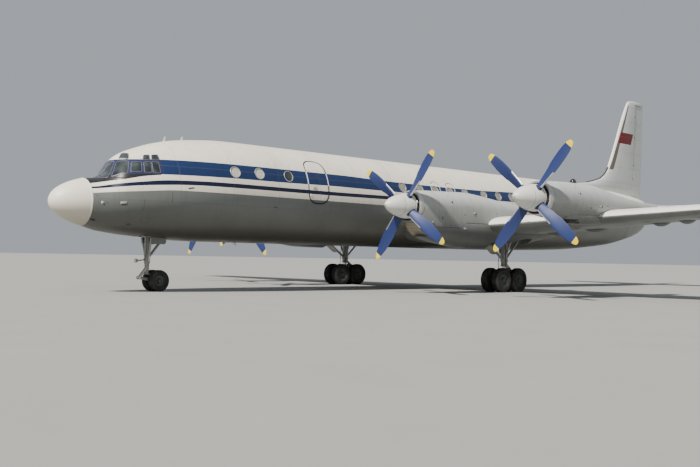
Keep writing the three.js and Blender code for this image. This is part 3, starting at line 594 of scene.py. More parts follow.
for door in DOORS.values():
    outline, angle = door_outline(*door)
    openings.append(fitted(door[0], angle, outline, [(1, 0.008, -0.04), (1, 0.008, 0.05)], (True, True)))
combined(fuselage, "DIFFERENCE", openings, inner_walls)


# Each cabin window is a round pane set back in a pressed alloy ring that is riveted to the skin.
# The first two on a side are blanked, the third is dark, and pale blinds show behind the others.
clear_pane = mottled("cabin_glass", (0.018, 0.022, 0.026), 0.08, (2.6, 2, 0.45, 0.7),
                     (0.012, 0.016, 0.02), (0.05, 0.055, 0.05), coat=0.6)
drawn_blind = mottled("pane_with_blind", (0.3, 0.28, 0.23), 0.3, (5, 3),
                      (0.14, 0.13, 0.11), (0.42, 0.4, 0.33), coat=0.8)
blank_disc = sheet_metal("blanked_window", (0.55, 0.52, 0.44), 0.45, 0.6)
bare_metal = worn_metal("bare_alloy", (0.62, 0.62, 0.6), 0.36, 0.6,
                        (0.64, 0.64, 0.62), (0.33, 0.32, 0.3), 0.002, metallic=0.75)
RING_PROFILE = [(1, -0.008, -0.03), (1, -0.008, 0.002), (1, -0.004, 0.005), (1, 0.012, 0.005),
                (1, 0.018, 0.0)]
PANE_PROFILE = [(0.05, 0, -0.014), (0.6, 0, -0.014), (1, 0.006, -0.018)]
rings = []
panes = []
for number, station in enumerate(WINDOWS):
    look = 1 if number < 2 else 0 if number == 2 else 2
    for angle in BOTH_WINDOW_ANGLES:
        rings.append(fitted(station, angle, circle(WINDOW_RADIUS, 40), RING_PROFILE, OPEN))
        panes.append(fitted(station, angle, circle(WINDOW_RADIUS, 40), PANE_PROFILE, material=look))
piece("window_rings", rings, [bare_metal])
piece("window_panes", panes, [clear_pane, blank_disc, drawn_blind])


# The doors are plugs of the same painted skin. A line is painted round each, dark on the cream and
# white across the band, and a small dark port, a dished handle and two hinge covers are set in it.
WHITE = (0.78, 0.77, 0.73)


def door_line(split):
    """Dark blue, and white where the line crosses the band."""
    return blend(between(split["Z"], 3.785, 4.24), LINE_BLUE, WHITE)


door_line_paint = sheet_metal("door_line_paint", LINE_BLUE, 0.4, 0.5, NO_JOINTS, door_line)
SKIN_ROWS = [(0.02, 0, 0.003), (0.3, 0, 0.003), (0.6, 0, 0.003), (0.85, 0, 0.003), (1, -0.012, 0.003),
             (1, -0.004, 0.001), (1, -0.004, -0.035)]
LINE_ROWS = [(1, 0.008, -0.035), (1, 0.008, 0.003), (1, 0.045, 0.003), (1, 0.048, 0.0)]
PORT_ROWS = [(0.1, 0, 0.005), (1, 0, 0.005), (1, 0, 0)]
DISH_ROWS = [(0.05, 0, 0.0045), (0.9, 0, 0.0045), (1, 0, 0.009), (1, 0.012, 0.003)]
GRIP_ROWS = [(0.1, 0, 0.026), (1, -0.004, 0.026), (1, 0, 0.022), (1, 0, 0.004)]
HINGE_ROWS = [(0.1, 0, 0.02), (1, -0.006, 0.02), (1, 0, 0.014), (1, 0.002, 0.001)]
PORT_HEIGHT = 4.1
HANDLE_HEIGHT = 3.68
for node_name, door in DOORS.items():
    outline, angle = door_outline(*door)
    middle, width = door[:2]
    port_level = angle_at_height(middle, PORT_HEIGHT)
    handle_level = angle_at_height(middle, HANDLE_HEIGHT)
    parts = [
        fitted(middle, angle, outline, SKIN_ROWS),
        fitted(middle, angle, outline, LINE_ROWS, OPEN, material=1),
        fitted(middle - 0.03, port_level, circle(0.045, 24), PORT_ROWS, material=2),
        fitted(middle - 0.2, handle_level, plate(0.11, 0.05, 0.045), DISH_ROWS),
        fitted(middle - 0.2, handle_level, plate(0.08, 0.012, 0.011), GRIP_ROWS, material=3),
    ]
    for height in (3.4, 4.3):
        level = angle_at_height(middle, height)
        parts.append(fitted(middle - width / 2 + 0.08, level, plate(0.05, 0.02, 0.018), HINGE_ROWS))
    materials = [painted_skin, door_line_paint, clear_pane, bare_metal]
    door = piece(node_name + "_panel", parts, materials, node_name)


# Exits over the wing are window panels that push in: a thin joint round each, with a rounded head.
# The same thin joint marks the hatches under the nose and the lockers on the starboard side.
gap_shadow = mottled("joint_shadow", (0.03, 0.03, 0.03), 0.8, (9, 3),
                     (0.02, 0.02, 0.02), (0.1, 0.095, 0.085))
JOINT_PROFILE = [(1, 0, 0.0), (1, 0.001, 0.0025), (1, 0.008, 0.0025), (1, 0.009, 0.0)]
EXIT_PROFILE = [(1, 0, 0.0), (1, 0.001, 0.0025), (1, 0.026, 0.0025), (1, 0.028, 0.0)]
HATCHES = [
    # station, height, half length, half height, corner
    (2.7, 2.27, 0.14, 0.1, 0.09),
    (6.2, 2.62, 0.55, 0.42, 0.12),
    (12.2, 2.55, 0.6, 0.45, 0.12),
    (22.9, 2.6, 0.6, 0.45, 0.12),
    (28.6, 2.95, 0.35, 0.3, 0.1),
]
joint_parts = [fitted(station, angle, slab(0.25, -0.62, 0.38, 0.24), EXIT_PROFILE, OPEN, material=1)
               for station in (15.74, 16.67) for angle in BOTH_WINDOW_ANGLES]
for station, height, long, tall, corner in HATCHES:
    level = angle_at_height(station, height)
    for angle in (level, np.pi - level) if station < 3 else (np.pi - level,):
        joint_parts.append(fitted(station, angle, plate(long, tall, corner), JOINT_PROFILE, OPEN))
piece("hatch_joints", joint_parts, [gap_shadow, door_line_paint])


# The cockpit glass is thick panes bolted in a painted frame: two in front on each side,
# three at the side, the middle one sliding, and three small ones above the band.
frame_blue = sheet_metal("cockpit_frame", (0.12, 0.12, 0.17), 0.42, 0.9)
cockpit_glass, shader, place = material_with("cockpit_glass", (0.03, 0.04, 0.045), 0.06, coat=1.0)
shader.inputs["Coat Roughness"].default_value = 0.03
shade = ramp(noise(place, 3.4, 2), 0.38, 0.66)
feed(shader, "Base Color", blend(shade, (0.01, 0.014, 0.015), (0.05, 0.062, 0.062)))
feed(shader, "Roughness", times(noise(place, 7, 4), 0.22))


def pane_between(corners, profile, material):
    """Rings round a pane whose four corners are stations and angles on the body: the corners are
    laid out in metres round their middle, rounded, and fitted to the skin."""
    corners = np.asarray(corners, float)
    station, angle = corners.mean(axis=0)
    top, _, half, wide = read_table(BODY, station)[0]
    girth = math.hypot(half * math.sin(angle), (top - wide) * math.cos(angle))
    flat = (corners - [station, angle]) * [1, girth]
    turning = np.cross(flat[1] - flat[0], flat[2] - flat[1])
    shortest = np.linalg.norm(flat - np.roll(flat, 1, axis=0), axis=1).min()
    outline = rounded(flat if turning > 0 else flat[::-1], min(0.035, 0.16 * shortest), 5)
    return fitted(station, angle, outline, profile, (bool(material), False), material)


def high(station, height):
    """A place on the body's side from its height."""
    return station, angle_at_height(station, height)


def wide_of(station, width):
    """A place on the upper body from its distance to port."""
    return station, math.acos(width / read_table(BODY, station)[0, 2])


def across_at(station, across, height):
    """A place on the upper body from its distance to port and its height, both a little off the skin."""
    top, _, half, wide = read_table(BODY, station)[0]
    return station, math.atan2((height - wide) / (top - wide), across / half)


def mirrored(part):
    """The same part on the other side: X changes sign, and so does the order round each face."""
    points, quads, fans, material = part
    return points * [-1, 1, 1], quads[:, ::-1], fans[:, ::-1], material


COCKPIT_PANES = [
    # front, quarter, three at the side, then three small ones over the band
    [wide_of(1.52, 0.04), wide_of(2.0, 0.04), across_at(2.01, 0.24, 4.09), across_at(1.68, 0.53, 3.67)],
    [across_at(1.75, 0.6, 3.66), across_at(2.01, 0.36, 4.05), across_at(2.27, 0.66, 4.07),
     across_at(2.1, 0.9, 3.68)],
    [high(2.21, 3.76), high(2.33, 4.09), high(2.6, 4.1), high(2.52, 3.77)],
    [high(2.6, 3.77), high(2.67, 4.11), high(2.87, 4.13), high(2.82, 3.77)],
    [high(2.86, 3.77), high(2.91, 4.13), high(3.1, 4.14), high(3.08, 3.77)],
    [across_at(2.13, 0.27, 4.06), across_at(2.33, 0.1, 4.22), across_at(2.42, 0.35, 4.23),
     across_at(2.3, 0.56, 4.07)],
    [high(2.68, 4.18), high(2.77, 4.34), high(2.93, 4.36), high(2.88, 4.19)],
    [high(2.93, 4.19), high(3.0, 4.36), high(3.18, 4.38), high(3.16, 4.2)],
]
GLASS_PROFILE = [(0.03, 0, 0.006), (0.5, 0, 0.006), (1, -0.012, 0.006)]
FRAME_PROFILE = [(1, -0.006, 0.002), (1, -0.006, 0.011), (1, 0.008, 0.011), (1, 0.012, 0.006),
                 (1, 0.014, -0.002)]
glazing = []
for corners in COCKPIT_PANES:
    for part in (pane_between(corners, FRAME_PROFILE, 0), pane_between(corners, GLASS_PROFILE, 1)):
        glazing += [part, mirrored(part)]
piece("cockpit_windows", glazing, [frame_blue, cockpit_glass])


# A wiper lies at the foot of each front pane: a thin black arm on a round post that turns it,
# with a rubber blade along its end.
def tube(points, radius, sides=10, material=0, caps=(True, True)):
    """A round tube along a path. Each ring stands square to the path at its point."""
    points = np.asarray(points, float)
    radius = np.broadcast_to(np.asarray(radius, float), len(points))
    along = np.gradient(points, axis=0)
    along = along / np.linalg.norm(along, axis=1, keepdims=True)
    pole = np.eye(3)[np.argmin(np.abs(along).max(axis=0))]
    side = np.cross(along, pole)
    side = side / np.linalg.norm(side, axis=1, keepdims=True)
    over_it = np.cross(along, side)
    angles = around(sides)[None, :, None]
    ring = np.cos(angles) * side[:, None] + np.sin(angles) * over_it[:, None]
    return grid(points[:, None] + radius[:, None, None] * ring, caps=caps, material=material)


black_rubber = mottled("black_rubber", (0.02, 0.02, 0.02), 0.75, (60, 3),
                       (0.014, 0.014, 0.014), (0.05, 0.05, 0.048), relief=0.001)
wipers = []
for post, end in (((1.63, 0.33), (1.6, 0.1)), ((2.02, 0.93), (1.77, 0.66))):
    foot, tip = (on_body(*wide_of(*place), 0.02) for place in (post, end))
    parts = [
        tube([foot - [0, 0, 0.03], foot, foot + [0, 0, 0.006]], 0.012, 14, 1),
        tube([foot, foot * 0.4 + tip * 0.6 + [0, 0, 0.01]], 0.006, 8, 1),
        tube([foot * 0.7 + tip * 0.3, tip], 0.009, 8, 1),
    ]
    wipers += parts + [mirrored(part) for part in parts]
piece("wipers", wipers, [bare_metal, black_rubber])


# The radome is a moulded shell of resin and glass cloth, painted cream, on a thin raised joint ring.
# It is smooth, with no rivets, and the weather has left it a little chalky.
radome_paint, shader, place = material_with("radome_paint", CREAM, 0.42)
worn = worn_at(place, 0.35, 0.4)
# The nose is painted darker and browner towards its bottom: painted shade, with a painted reflection of the
# dark ground in it.
low_painted_shade = ramp(node(tree_of(place), "SeparateXYZ", {"Vector": place}).outputs["Z"], 2.85, 2.1)
shaded_cream = blend(low_painted_shade, CREAM, (0.4, 0.37, 0.28))
feed(shader, "Base Color", blend(times(worn["Dirt"], 0.35), shaded_cream, (0.5, 0.48, 0.42)))
feed(shader, "Roughness", worn["Roughness"])
bumped(shader, worn["Height"], 0.003, 0.4)
NOSE_AXIS = 2.795
RADOME_LENGTH = 1.05
RADOME_REACH = 2.2
RADOME_RADIUS = 0.862


def radome_radius(travel):
    """The radius behind the nose tip: an ellipse that the joint cuts short of its middle."""
    return RADOME_RADIUS * np.sqrt(1 - ((RADOME_REACH - travel) / RADOME_REACH) ** 2)


def nose_ring(station, radius):
    """A ring round the axis of the nose."""
    turns = around(96)
    up = NOSE_AXIS + radius * np.sin(turns)
    return np.stack([radius * np.cos(turns), aft(station) + 0 * turns, up], -1)


travel = np.linspace(0.03, 1, 40) ** 1.7 * (RADOME_LENGTH - 0.002)
dome = [nose_ring(station, radome_radius(station)) for station in travel] + [nose_ring(travel[-1], 0.6)]
radome = piece("radome_shell", [grid(dome)], [radome_paint], "radome")
ring_shape = []
for station, out in ((1.016, 0.0), (1.024, 0.005), (1.045, 0.006), (1.06, 0.005), (1.067, 0.0)):
    if station < RADOME_LENGTH:
        ring_shape.append(nose_ring(station, radome_radius(station) + out))
    else:
        ring_shape.append(on_body(station, around(96), out))
piece("radome_ring", [grid(ring_shape, caps=OPEN)], [radome_paint])


# Small fittings on the skin: air-data probes and vents near the nose, whip and mast aerials,
# a drain mast below, and a dark glass dome on the spine ahead of the fin.
def fairing(foot, height, chord, thickness, lean=0.0, taper=0.65):
    """A streamlined mast that stands on a point: an oval section swept and narrowed to its tip."""
    foot = np.asarray(foot, float)
    rows = []
    for level in np.linspace(-0.06, 1, 9):
        wide = 1 - (1 - taper) * max(level, 0) - (0.25 if level > 0.99 else 0)
        x = thickness / 2 * wide * np.sin(around(20))
        y = chord / 2 * wide * np.cos(around(20)) + lean * level
        rows.append(foot + np.stack([x, y, np.full(20, height * level)], -1))
    return grid(rows)


def lamp_glass(name, colour, low, high, scale=30, roughness=0.12, coat=0.8):
    """Coloured glass with fine ribs."""
    material, shader, place = material_with(name, colour, roughness, coat=coat)
    ribs = node(tree_of(place), "TexWave", {"Vector": place, "Scale": scale}).outputs["Color"]
    feed(shader, "Base Color", blend(ribs, low, high))
    return material


red_lens = lamp_glass("red_lens", (0.35, 0.01, 0.01), (0.3, 0.008, 0.008), (0.42, 0.02, 0.015))
mast_white = sheet_metal("mast_white", WHITE, 0.4, 0.6, NO_JOINTS)
SPINE = np.pi / 2
fittings = [fairing(on_body(station, SPINE), height, 0.1, 0.02, 0.04)
            for station, height in ((3.96, 0.16), (4.63, 0.12))]
levels = np.sin(np.linspace(-0.3, np.pi / 2, 12))
dome_ring = circle(0.185, 32)[None] * np.sqrt(1 - (0.995 * levels[:, None, None]) ** 2)
dome_foot = on_body(28.19, SPINE) + [0, 0, 0.07]
bump = dome_foot + np.dstack([dome_ring, np.broadcast_to(levels[:, None] * 0.26, (12, 32))])
fittings.append(grid(bump, material=2))
fittings.append(fairing(on_body(6.9, -SPINE), -0.1, 0.12, 0.03, 0.1))
MARKS = [
    # station, height, half length, half height, corner, how far it stands out, material
    (1.17, 2.97, 0.014, 0.014, 0.013, 0.006, 1),
    (1.32, 2.76, 0.045, 0.045, 0.044, 0.02, 3),
    (1.335, 2.745, 0.022, 0.022, 0.021, 0.024, 1),
    (1.46, 2.76, 0.014, 0.014, 0.013, 0.006, 1),
    (1.91, 2.785, 0.095, 0.035, 0.03, 0.02, 3),
    (1.92, 2.735, 0.08, 0.012, 0.01, 0.012, 1),
    (1.15, 2.24, 0.075, 0.01, 0.009, 0.05, 1),
    (2.25, 2.12, 0.065, 0.05, 0.045, 0.008, 1),
    (4.03, 3.345, 0.105, 0.02, 0.018, 0.008, 1),
    (7.4, 2.9, 0.07, 0.016, 0.014, 0.006, 1),
    (2.53, 2.745, 0.005, 0.175, 0.004, 0.002, 1),
    (3.41, 3.0, 0.005, 0.17, 0.004, 0.002, 1),
]
for station, height, long, tall, corner, out, tint in MARKS:
    profile = [(0.1, 0, out), (0.8, 0, out * 0.92), (1, 0, out * 0.5), (1, 0, -0.002)]
    level = angle_at_height(station, height)
    for angle in (level, np.pi - level):
        fittings.append(fitted(station, angle, plate(long, tall, corner), profile, material=tint))
piece("body_fittings", fittings, [mast_white, gap_shadow, clear_pane, bare_metal])


# The wing is a tapered box of alloy skin on two spars, with a rounded tip and a blunt nose.
# It is white above and grey below, and the engines have left sooty streaks across its top.
HALF_SPAN = 18.71
WING_NOSE = 14.18
WING_SWEEP = math.tan(math.radians(5.35))
WING_RISE = math.tan(math.radians(3))
WING_CAMBER = 0.018
SIDES = ("port", "starboard")


def sided(parts, side):
    """Parts built for the port side, mirrored for the starboard side."""
    return parts if side == "port" else [mirrored(part) for part in parts]


def half_thickness(share, thick):
    """Half the depth of an aerofoil at a share of its chord: the usual four-digit curve."""
    curve = 0.2969 * np.sqrt(share) - 0.126 * share - 0.3516 * share**2
    return 5 * thick * (curve + 0.2843 * share**3 - 0.1015 * share**4) + 0.0012 * share


def camber_at(share):
    """The height of the middle line of the aerofoil, as a parabola."""
    return 4 * WING_CAMBER * share * (1 - share)


def wing_chord(x):
    """The chord, which shrinks evenly from the aircraft's middle to the tip."""
    return 5.61 - 3.74 * x / HALF_SPAN


def wing_depth(x):
    """The depth of the aerofoil as a share of its chord."""
    return 0.155 - 0.035 * x / HALF_SPAN


def wing_point(x, share, height=0.0):
    """A point of the wing: the nose sweeps back, and the wing rises and twists."""
    x, share, height = all_alike(x, share, height)
    twist = np.radians(3 - 2.5 * x / HALF_SPAN)
    along = share * wing_chord(x)
    up = height * wing_chord(x)
    y = aft(WING_NOSE + x * WING_SWEEP) + along * np.cos(twist) + up * np.sin(twist)
    return np.stack([x, y, 2.262 + x * WING_RISE - along * np.sin(twist) + up * np.cos(twist)], -1)


def wing_under(x, share):
    """A point on the underside of the wing."""
    return wing_point(x, share, camber_at(share) - half_thickness(np.clip(share, 0, 1), wing_depth(x)))


def section_steps(count=28):
    """Shares of the chord from the trailing edge over the top to the nose and back, closer at the nose."""
    half = 0.5 - 0.5 * np.cos(np.linspace(0, np.pi, count))
    share = np.concatenate([half[::-1], half[1:-1]])
    return share, np.concatenate([np.ones(count), -np.ones(count - 2)])


def wing_rows(x, shrink):
    """Rings of the wing skin at span stations. shrink draws each ring in towards 0.45 of its chord."""
    x = x[:, None]
    shrink = shrink[:, None]
    share, side = section_steps()
    height = camber_at(share) + side * half_thickness(share, wing_depth(x)) * shrink
    return wing_point(x, 0.45 + (share - 0.45) * shrink, height)


def by_material(name, parts, materials, node_name, body="airframe"):
    """A piece whose faces take the upper paint or the lower one from the way that they look."""
    obj = piece(name, parts, materials, node_name, body)
    normals = np.empty(len(obj.data.polygons) * 3)
    obj.data.polygons.foreach_get("normal", normals)
    obj.data.polygons.foreach_set("material_index", (normals.reshape(-1, 3)[:, 2] < 0).astype(int))
    return obj


def wing_white(split):
    """White skin with dark streaks behind the engines."""
    span = size(split["X"])
    behind = minus(split["Y"], plus(aft(WING_NOSE), times(span, WING_SWEEP)))
    near = [ramp(size(minus(span, centre)), 0.75, 0.2) for centre in (4.5, 9.08)]
    stain = times(times(larger(*near), ramp(behind, 1.6, 4.6)), 0.45)
    return blend(stain, WHITE, (0.2, 0.19, 0.17))


wing_upper = sheet_metal("wing_upper_paint", WHITE, 0.36, 0.6, (1.25, 40.0), wing_white)
wing_lower = sheet_metal("wing_lower_paint", GREY, 0.4, 0.8, (1.25, 40.0))
WING_PAINTS = [wing_upper, wing_lower]
HINGE_SHARE = 0.72
FLAPS = {"flap_inner": (1.96, 3.65), "flap_outer": (5.35, 11.7)}
FLAP_GAP = 0.008
AILERON_SPAN = (11.84, 18.02)
AILERON_END = 0.032
AILERON_NOSE_GAP = 0.01
TIP_ROUND = 0.42


def behind_line(x0, x1, ahead):
    """A block behind the hinge line between two span stations, for cutting or keeping a surface."""
    front = wing_point(np.array([x0, x1]), HINGE_SHARE)[:, 1] - ahead
    back = wing_point(np.array([x0, x1]), 1.0)[:, 1] + 0.2
    plan = [(x0, front[0]), (x1, front[1]), (x1, back[1]), (x0, back[0])]
    return grid([[(x, y, z) for x, y in plan] for z in (1.5, 4.5)])


def hinge_radius(x):
    """The wing's half depth at the hinge line, which is the round nose of the aileron."""
    return half_thickness(HINGE_SHARE, wing_depth(x)) * wing_chord(x)


def hinge_line(x):
    """The middle of the wing's depth at the hinge line."""
    return wing_point(x, HINGE_SHARE, camber_at(HINGE_SHARE))


def panel_part(hinge, trailing, radius, across):
    """A control surface: rings with a round nose on the hinge line and a thin trailing edge."""
    along = trailing - hinge
    along = along / np.linalg.norm(along, axis=1, keepdims=True)
    up = np.cross(np.broadcast_to(across, along.shape), along)
    up = up / np.linalg.norm(up, axis=1, keepdims=True)
    angles = np.radians(np.linspace(90, 270, 15))[None, :, None]
    nose = np.cos(angles) * along[:, None] + np.sin(angles) * up[:, None]
    nose = hinge[:, None] + np.asarray(radius, float)[:, None, None] * nose
    shares = np.linspace(0, 1, 9)[1:, None]
    edge = 0.004 * up[:, None]
    under = nose[:, -1:] + (trailing[:, None] - edge - nose[:, -1:]) * shares
    top = nose[:, :1] + (trailing[:, None] + edge - nose[:, :1]) * shares[::-1]
    return grid(np.concatenate([nose, under, top], axis=1))


# Flaps slide back on tracks and droop; here they are up, flush with the skin. Ailerons hang on
# three hinges behind a closed slot, with a thin tab rod at each, and small static wicks trail from them.
tip_start = HALF_SPAN - TIP_ROUND
tip_share = np.sin(np.linspace(0, np.pi / 2, 14))
tip_shrink = 0.3 + 0.7 * np.sqrt(1 - (tip_share * 0.985) ** 2)
span_stations = np.concatenate([np.linspace(1.0, tip_start, 34), tip_start + tip_share[1:] * TIP_ROUND])
shrinks = np.concatenate([np.ones(33), tip_shrink])
for side in SIDES:
    whole = sided([grid(wing_rows(span_stations, shrinks))], side)
    blocks = [behind_line(x0, x1, 0) for x0, x1 in FLAPS.values()]
    blocks.append(behind_line(*AILERON_SPAN, hinge_radius(np.array(AILERON_SPAN)) + AILERON_NOSE_GAP))
    wing = by_material("wing_skin_" + side, whole, WING_PAINTS, "wing_" + side)
    combined(wing, "DIFFERENCE", sided(blocks, side), gap_shadow)
    for flap, (x0, x1) in FLAPS.items():
        name = f"{flap}_{side}"
        block = behind_line(x0 + FLAP_GAP, x1 - FLAP_GAP, -FLAP_GAP / 2)
        surface = by_material(name + "_skin", whole, WING_PAINTS, name)
        combined(surface, "INTERSECT", sided([block], side), gap_shadow)
    xs = np.linspace(AILERON_SPAN[0] + AILERON_END, AILERON_SPAN[1] - AILERON_END, 24)
    parts = [panel_part(hinge_line(xs), wing_point(xs, 1.0), hinge_radius(xs), [1, 0, 0])]
    for from_x, to_x in ((xs[0] + 0.06, AILERON_SPAN[0]), (xs[-1] - 0.06, AILERON_SPAN[1])):
        parts.append(tube(hinge_line(np.linspace(from_x, to_x, 3)), 0.022, 12))
    for x in (13.4, 15.2, 16.9):
        parts.append(tube(wing_point(x, np.array([0.8, 0.86]), -0.03), 0.012, 8))
        parts.append(fairing(wing_point(x, 0.82, -0.012), -0.06, 0.3, 0.03, 0.05, 0.6))
    for x in (16.4, 17.2, 17.8):
        wick = wing_point(x, np.array([0.998, 1.0]))
        parts.append(tube([wick[0], wick[1] + [0, 0.1, -0.01]], [0.004, 0.002], 6))
    name = "aileron_" + side
    aileron = by_material(name + "_skin", sided(parts, side), WING_PAINTS, name, name)


# Under each wing are the flap track fairings, fuel access plates and the jacking point. A navigation
# light of coloured glass is set in the tip's leading edge, red to port and green to starboard.
green_lens = lamp_glass("green_lens", (0.01, 0.3, 0.08), (0.008, 0.24, 0.06), (0.02, 0.4, 0.12))
TRACK_SPANS = (5.9, 7.6, 10.3, 11.3)
PLATE_SPANS = (2.9, 6.2, 7.9, 10.6, 12.4, 14.2, 16.0)
JACK_SPAN = 3.3


def pod(x, start, end, depth=0.1, width=0.14, sink=0.35):
    """A spindle under the wing: round sections that swell and close along the chord."""
    shares = np.linspace(0, 1, 15)
    swell = np.sin(np.pi * np.clip(shares, 0.02, 0.985)) ** 0.75
    spine = wing_under(x, start + (end - start) * shares)
    angles = around(18)
    ring = np.stack([width / 2 * np.cos(angles), 0 * angles, depth * (np.sin(angles) - 1 + 2 * sink)], -1)
    return grid(spine[:, None] + swell[:, None, None] * ring)


for side in SIDES:
    parts = [pod(x, 0.6, 0.97 if x > TRACK_SPANS[0] - 0.6 else 0.95) for x in TRACK_SPANS]
    pad = wing_under(JACK_SPAN, 0.42)
    disc = [pad + [0, 0, 0.05], pad - [0, 0, 0.035], pad - [0, 0, 0.045]]
    parts.append(tube(disc, [0.09, 0.09, 0.08], 24))
    for x in PLATE_SPANS:
        spot = wing_under(x, 0.3)
        ring = circle(0.17, 28) * [1.3, 0.8]
        rows = [np.c_[ring * share, np.full(28, -drop)] + spot
                for share, drop in ((0.05, 0.006), (0.9, 0.006), (1, -0.004))]
        parts.append(grid(rows, caps=(True, False), inside=spot + [0, 0, 0.5]))
    piece("wing_fittings_" + side, sided(parts, side), [wing_lower])
    tip = wing_point(HALF_SPAN - 0.34, 0.03, 0.012)
    bulb = []
    for r, y in ((0.02, 0.07), (0.045, 0.055), (0.06, 0.02), (0.065, -0.04)):
        ring = circle(r, 16)
        flat = np.stack([0.6 * ring[:, 0], 0 * ring[:, 0], ring[:, 1]], -1)
        bulb.append(flat + tip + [0.02 * (1 - r / 0.07), -y, 0])
    piece("wing_lamp_" + side, sided([grid(bulb)], side), [red_lens if side == "port" else green_lens])


# The fin is a tapered box of alloy skin that grows out of a long fillet on the spine.
# Its nose has a bright strip with a grey one behind it, and it bears a plain red panel.
FIN = np.array([
    # height, leading edge station, thickness
    [4.56, 27.3, 0.56],
    [5.17, 27.9, 0.42],
    [5.35, 29.4, 0.4],
    [5.71, 30.82, 0.385],
    [6.12, 31.36, 0.37],
    [6.62, 31.66, 0.355],
    [7.1, 31.91, 0.335],
    [9.85, 33.29, 0.215],
    [10.08, 33.48, 0.15],
    [10.17, 33.9, 0.06],
])
RUDDER_LOW = (4.9, 33.96, 0.118)
RUDDER_TOP = (9.95, 34.19, 0.062)
RUDDER_GAP = 0.01


def fin_trailing(z):
    """The station of the fin's trailing edge at a height."""
    return 34.93 + 0.2 * (z - 4.7) / 5.47


def rudder_hinge(z):
    """The rudder's hinge station and nose radius at a height, no thicker than the fin there."""
    t = (np.asarray(z, float) - RUDDER_LOW[0]) / (RUDDER_TOP[0] - RUDDER_LOW[0])
    hinge = RUDDER_LOW[1] + t * (RUDDER_TOP[1] - RUDDER_LOW[1])
    nose, thick = read_table(FIN, z).T
    share = (hinge - nose) / (fin_trailing(z) - nose)
    radius = RUDDER_LOW[2] + t * (RUDDER_TOP[2] - RUDDER_LOW[2])
    return hinge, np.minimum(radius, half_thickness(share, 1.0) * thick).reshape(np.shape(hinge))


FIN_WHITE = (0.5, 0.52, 0.51)
NOSE_LINE = [(5.3, 29.0)] + [tuple(row[:2]) for row in FIN[3:9]]
BRIGHT_NOSE = 0.1
PANEL_FOOT = (32.38, 7.69)
PANEL_HEIGHT = 0.61
PANEL_LENGTH = 1.25
PANEL_LEAN = 0.275


def fin_paint(split):
    """White, with the bright nose, the grey strip behind it, and the leaning red panel."""
    height = split["Z"]
    places = [((z - 5) / 6, (station - 28) / 7) for z, station in NOSE_LINE]
    curve = curve_through(over(minus(height, 5), 6), places, "VECTOR")
    behind = minus(split["Y"], plus(times(curve, 7), aft(28)))
    strip_inputs = {0: height, 1: 6.2, 2: 9.9, 3: 0.42, 4: 0.18}
    strip_end = node(tree_of(height), "MapRange", strip_inputs).outputs[0]
    strip = times(between(behind, BRIGHT_NOSE, strip_end), between(height, 6.2, 9.86))
    colour = blend(times(below(behind, BRIGHT_NOSE), above(height, 5.6)), FIN_WHITE, WHITE)
    colour = blend(strip, colour, (0.1, 0.088, 0.075))
    up_panel = over(minus(height, PANEL_FOOT[1]), PANEL_HEIGHT)
    along = minus(split["Y"], plus(times(up_panel, PANEL_LEAN), aft(PANEL_FOOT[0])))
    red = times(between(up_panel, 0, 1), between(along, 0, PANEL_LENGTH))
    return blend(red, colour, (0.13, 0.0045, 0.006))


def upright_rows(heights):
    """Rings of the fin: an aerofoil with no camber at each height."""
    noses, thick = read_table(FIN, heights).T
    share, side = section_steps(26)
    across = side * (half_thickness(share, 1.0) * thick[:, None] + 0.0015)
    station = noses[:, None] + share * (fin_trailing(heights) - noses)[:, None]
    return np.stack([across, aft(station), heights[:, None] + 0 * across], -1)


fin_skin = sheet_metal("fin_paint", FIN_WHITE, 0.38, 0.45, (50.0, 0.85), fin_paint)
heights = np.concatenate([
    np.linspace(4.56, 6.3, 40), np.linspace(6.3, 9.8, 22)[1:], np.linspace(9.8, 10.17, 14)[1:],
])
fin = piece("fin_skin", [grid(upright_rows(heights))], [fin_skin], "fin")
slot_rows = []
for z in (RUDDER_LOW[0] - 0.03, 5.3, 5.8, 6.4, RUDDER_TOP[0] + 0.03):
    hinge, radius = rudder_hinge(z)
    front = aft(hinge) - radius - RUDDER_GAP
    slot_rows.append([(-0.4, front, z), (0.4, front, z), (0.4, aft(35.6), z), (-0.4, aft(35.6), z)])
combined(fin, "DIFFERENCE", [grid(slot_rows)], gap_shadow)


# The rudder hangs on the fin's rear spar, with three thin tab rods on its port side. Small dark
# fairings mark its hinges, a rubber strip caps the fillet's ridge, and a lamp stands on the tip.
zs = np.linspace(RUDDER_LOW[0], RUDDER_TOP[0], 26)
hinge, radius = rudder_hinge(zs)
line = np.stack([0 * zs, aft(hinge), zs], -1)
trailing = np.stack([0 * zs, aft(fin_trailing(zs)), zs], -1)
top_y = aft(RUDDER_TOP[1])
top_pin = [[0, top_y - 0.004, RUDDER_TOP[0] - 0.06], [0, top_y, RUDDER_TOP[0] + 0.03]]
rudder_parts = [panel_part(line, trailing, radius, [0, 0, 1]), tube(top_pin, 0.022, 12)]
for z in (5.5, 6.4, 7.2):
    y = aft(rudder_hinge(z)[0])
    rudder_parts.append(tube([[0.09, y + 0.45, z], [0.055, y + 0.72, z]], 0.011, 8, 1))
rudder = piece("rudder_skin", rudder_parts, [fin_skin, bare_metal], "rudder", "rudder")
marks = []
swell = np.sin(np.linspace(0.06, np.pi - 0.06, 9))
for z in (5.86, 6.61, 8.15, 9.3):
    station = rudder_hinge(z)[0] - 0.06
    nose, thick = read_table(FIN, z)[0]
    out = half_thickness((station - nose) / (fin_trailing(z) - nose), thick)
    path = np.stack([0 * swell, np.linspace(-0.08, 0.08, 9), 0 * swell], -1)
    ring = np.stack([0.022 * np.cos(around(16)), 0 * around(16), 0.028 * np.sin(around(16))], -1)
    for side in (1, -1):
        spot = np.array([side * out, aft(station), z])
        marks.append(grid((spot + path)[:, None] + swell[:, None, None] * ring))
LAMP_STATION = 34.35
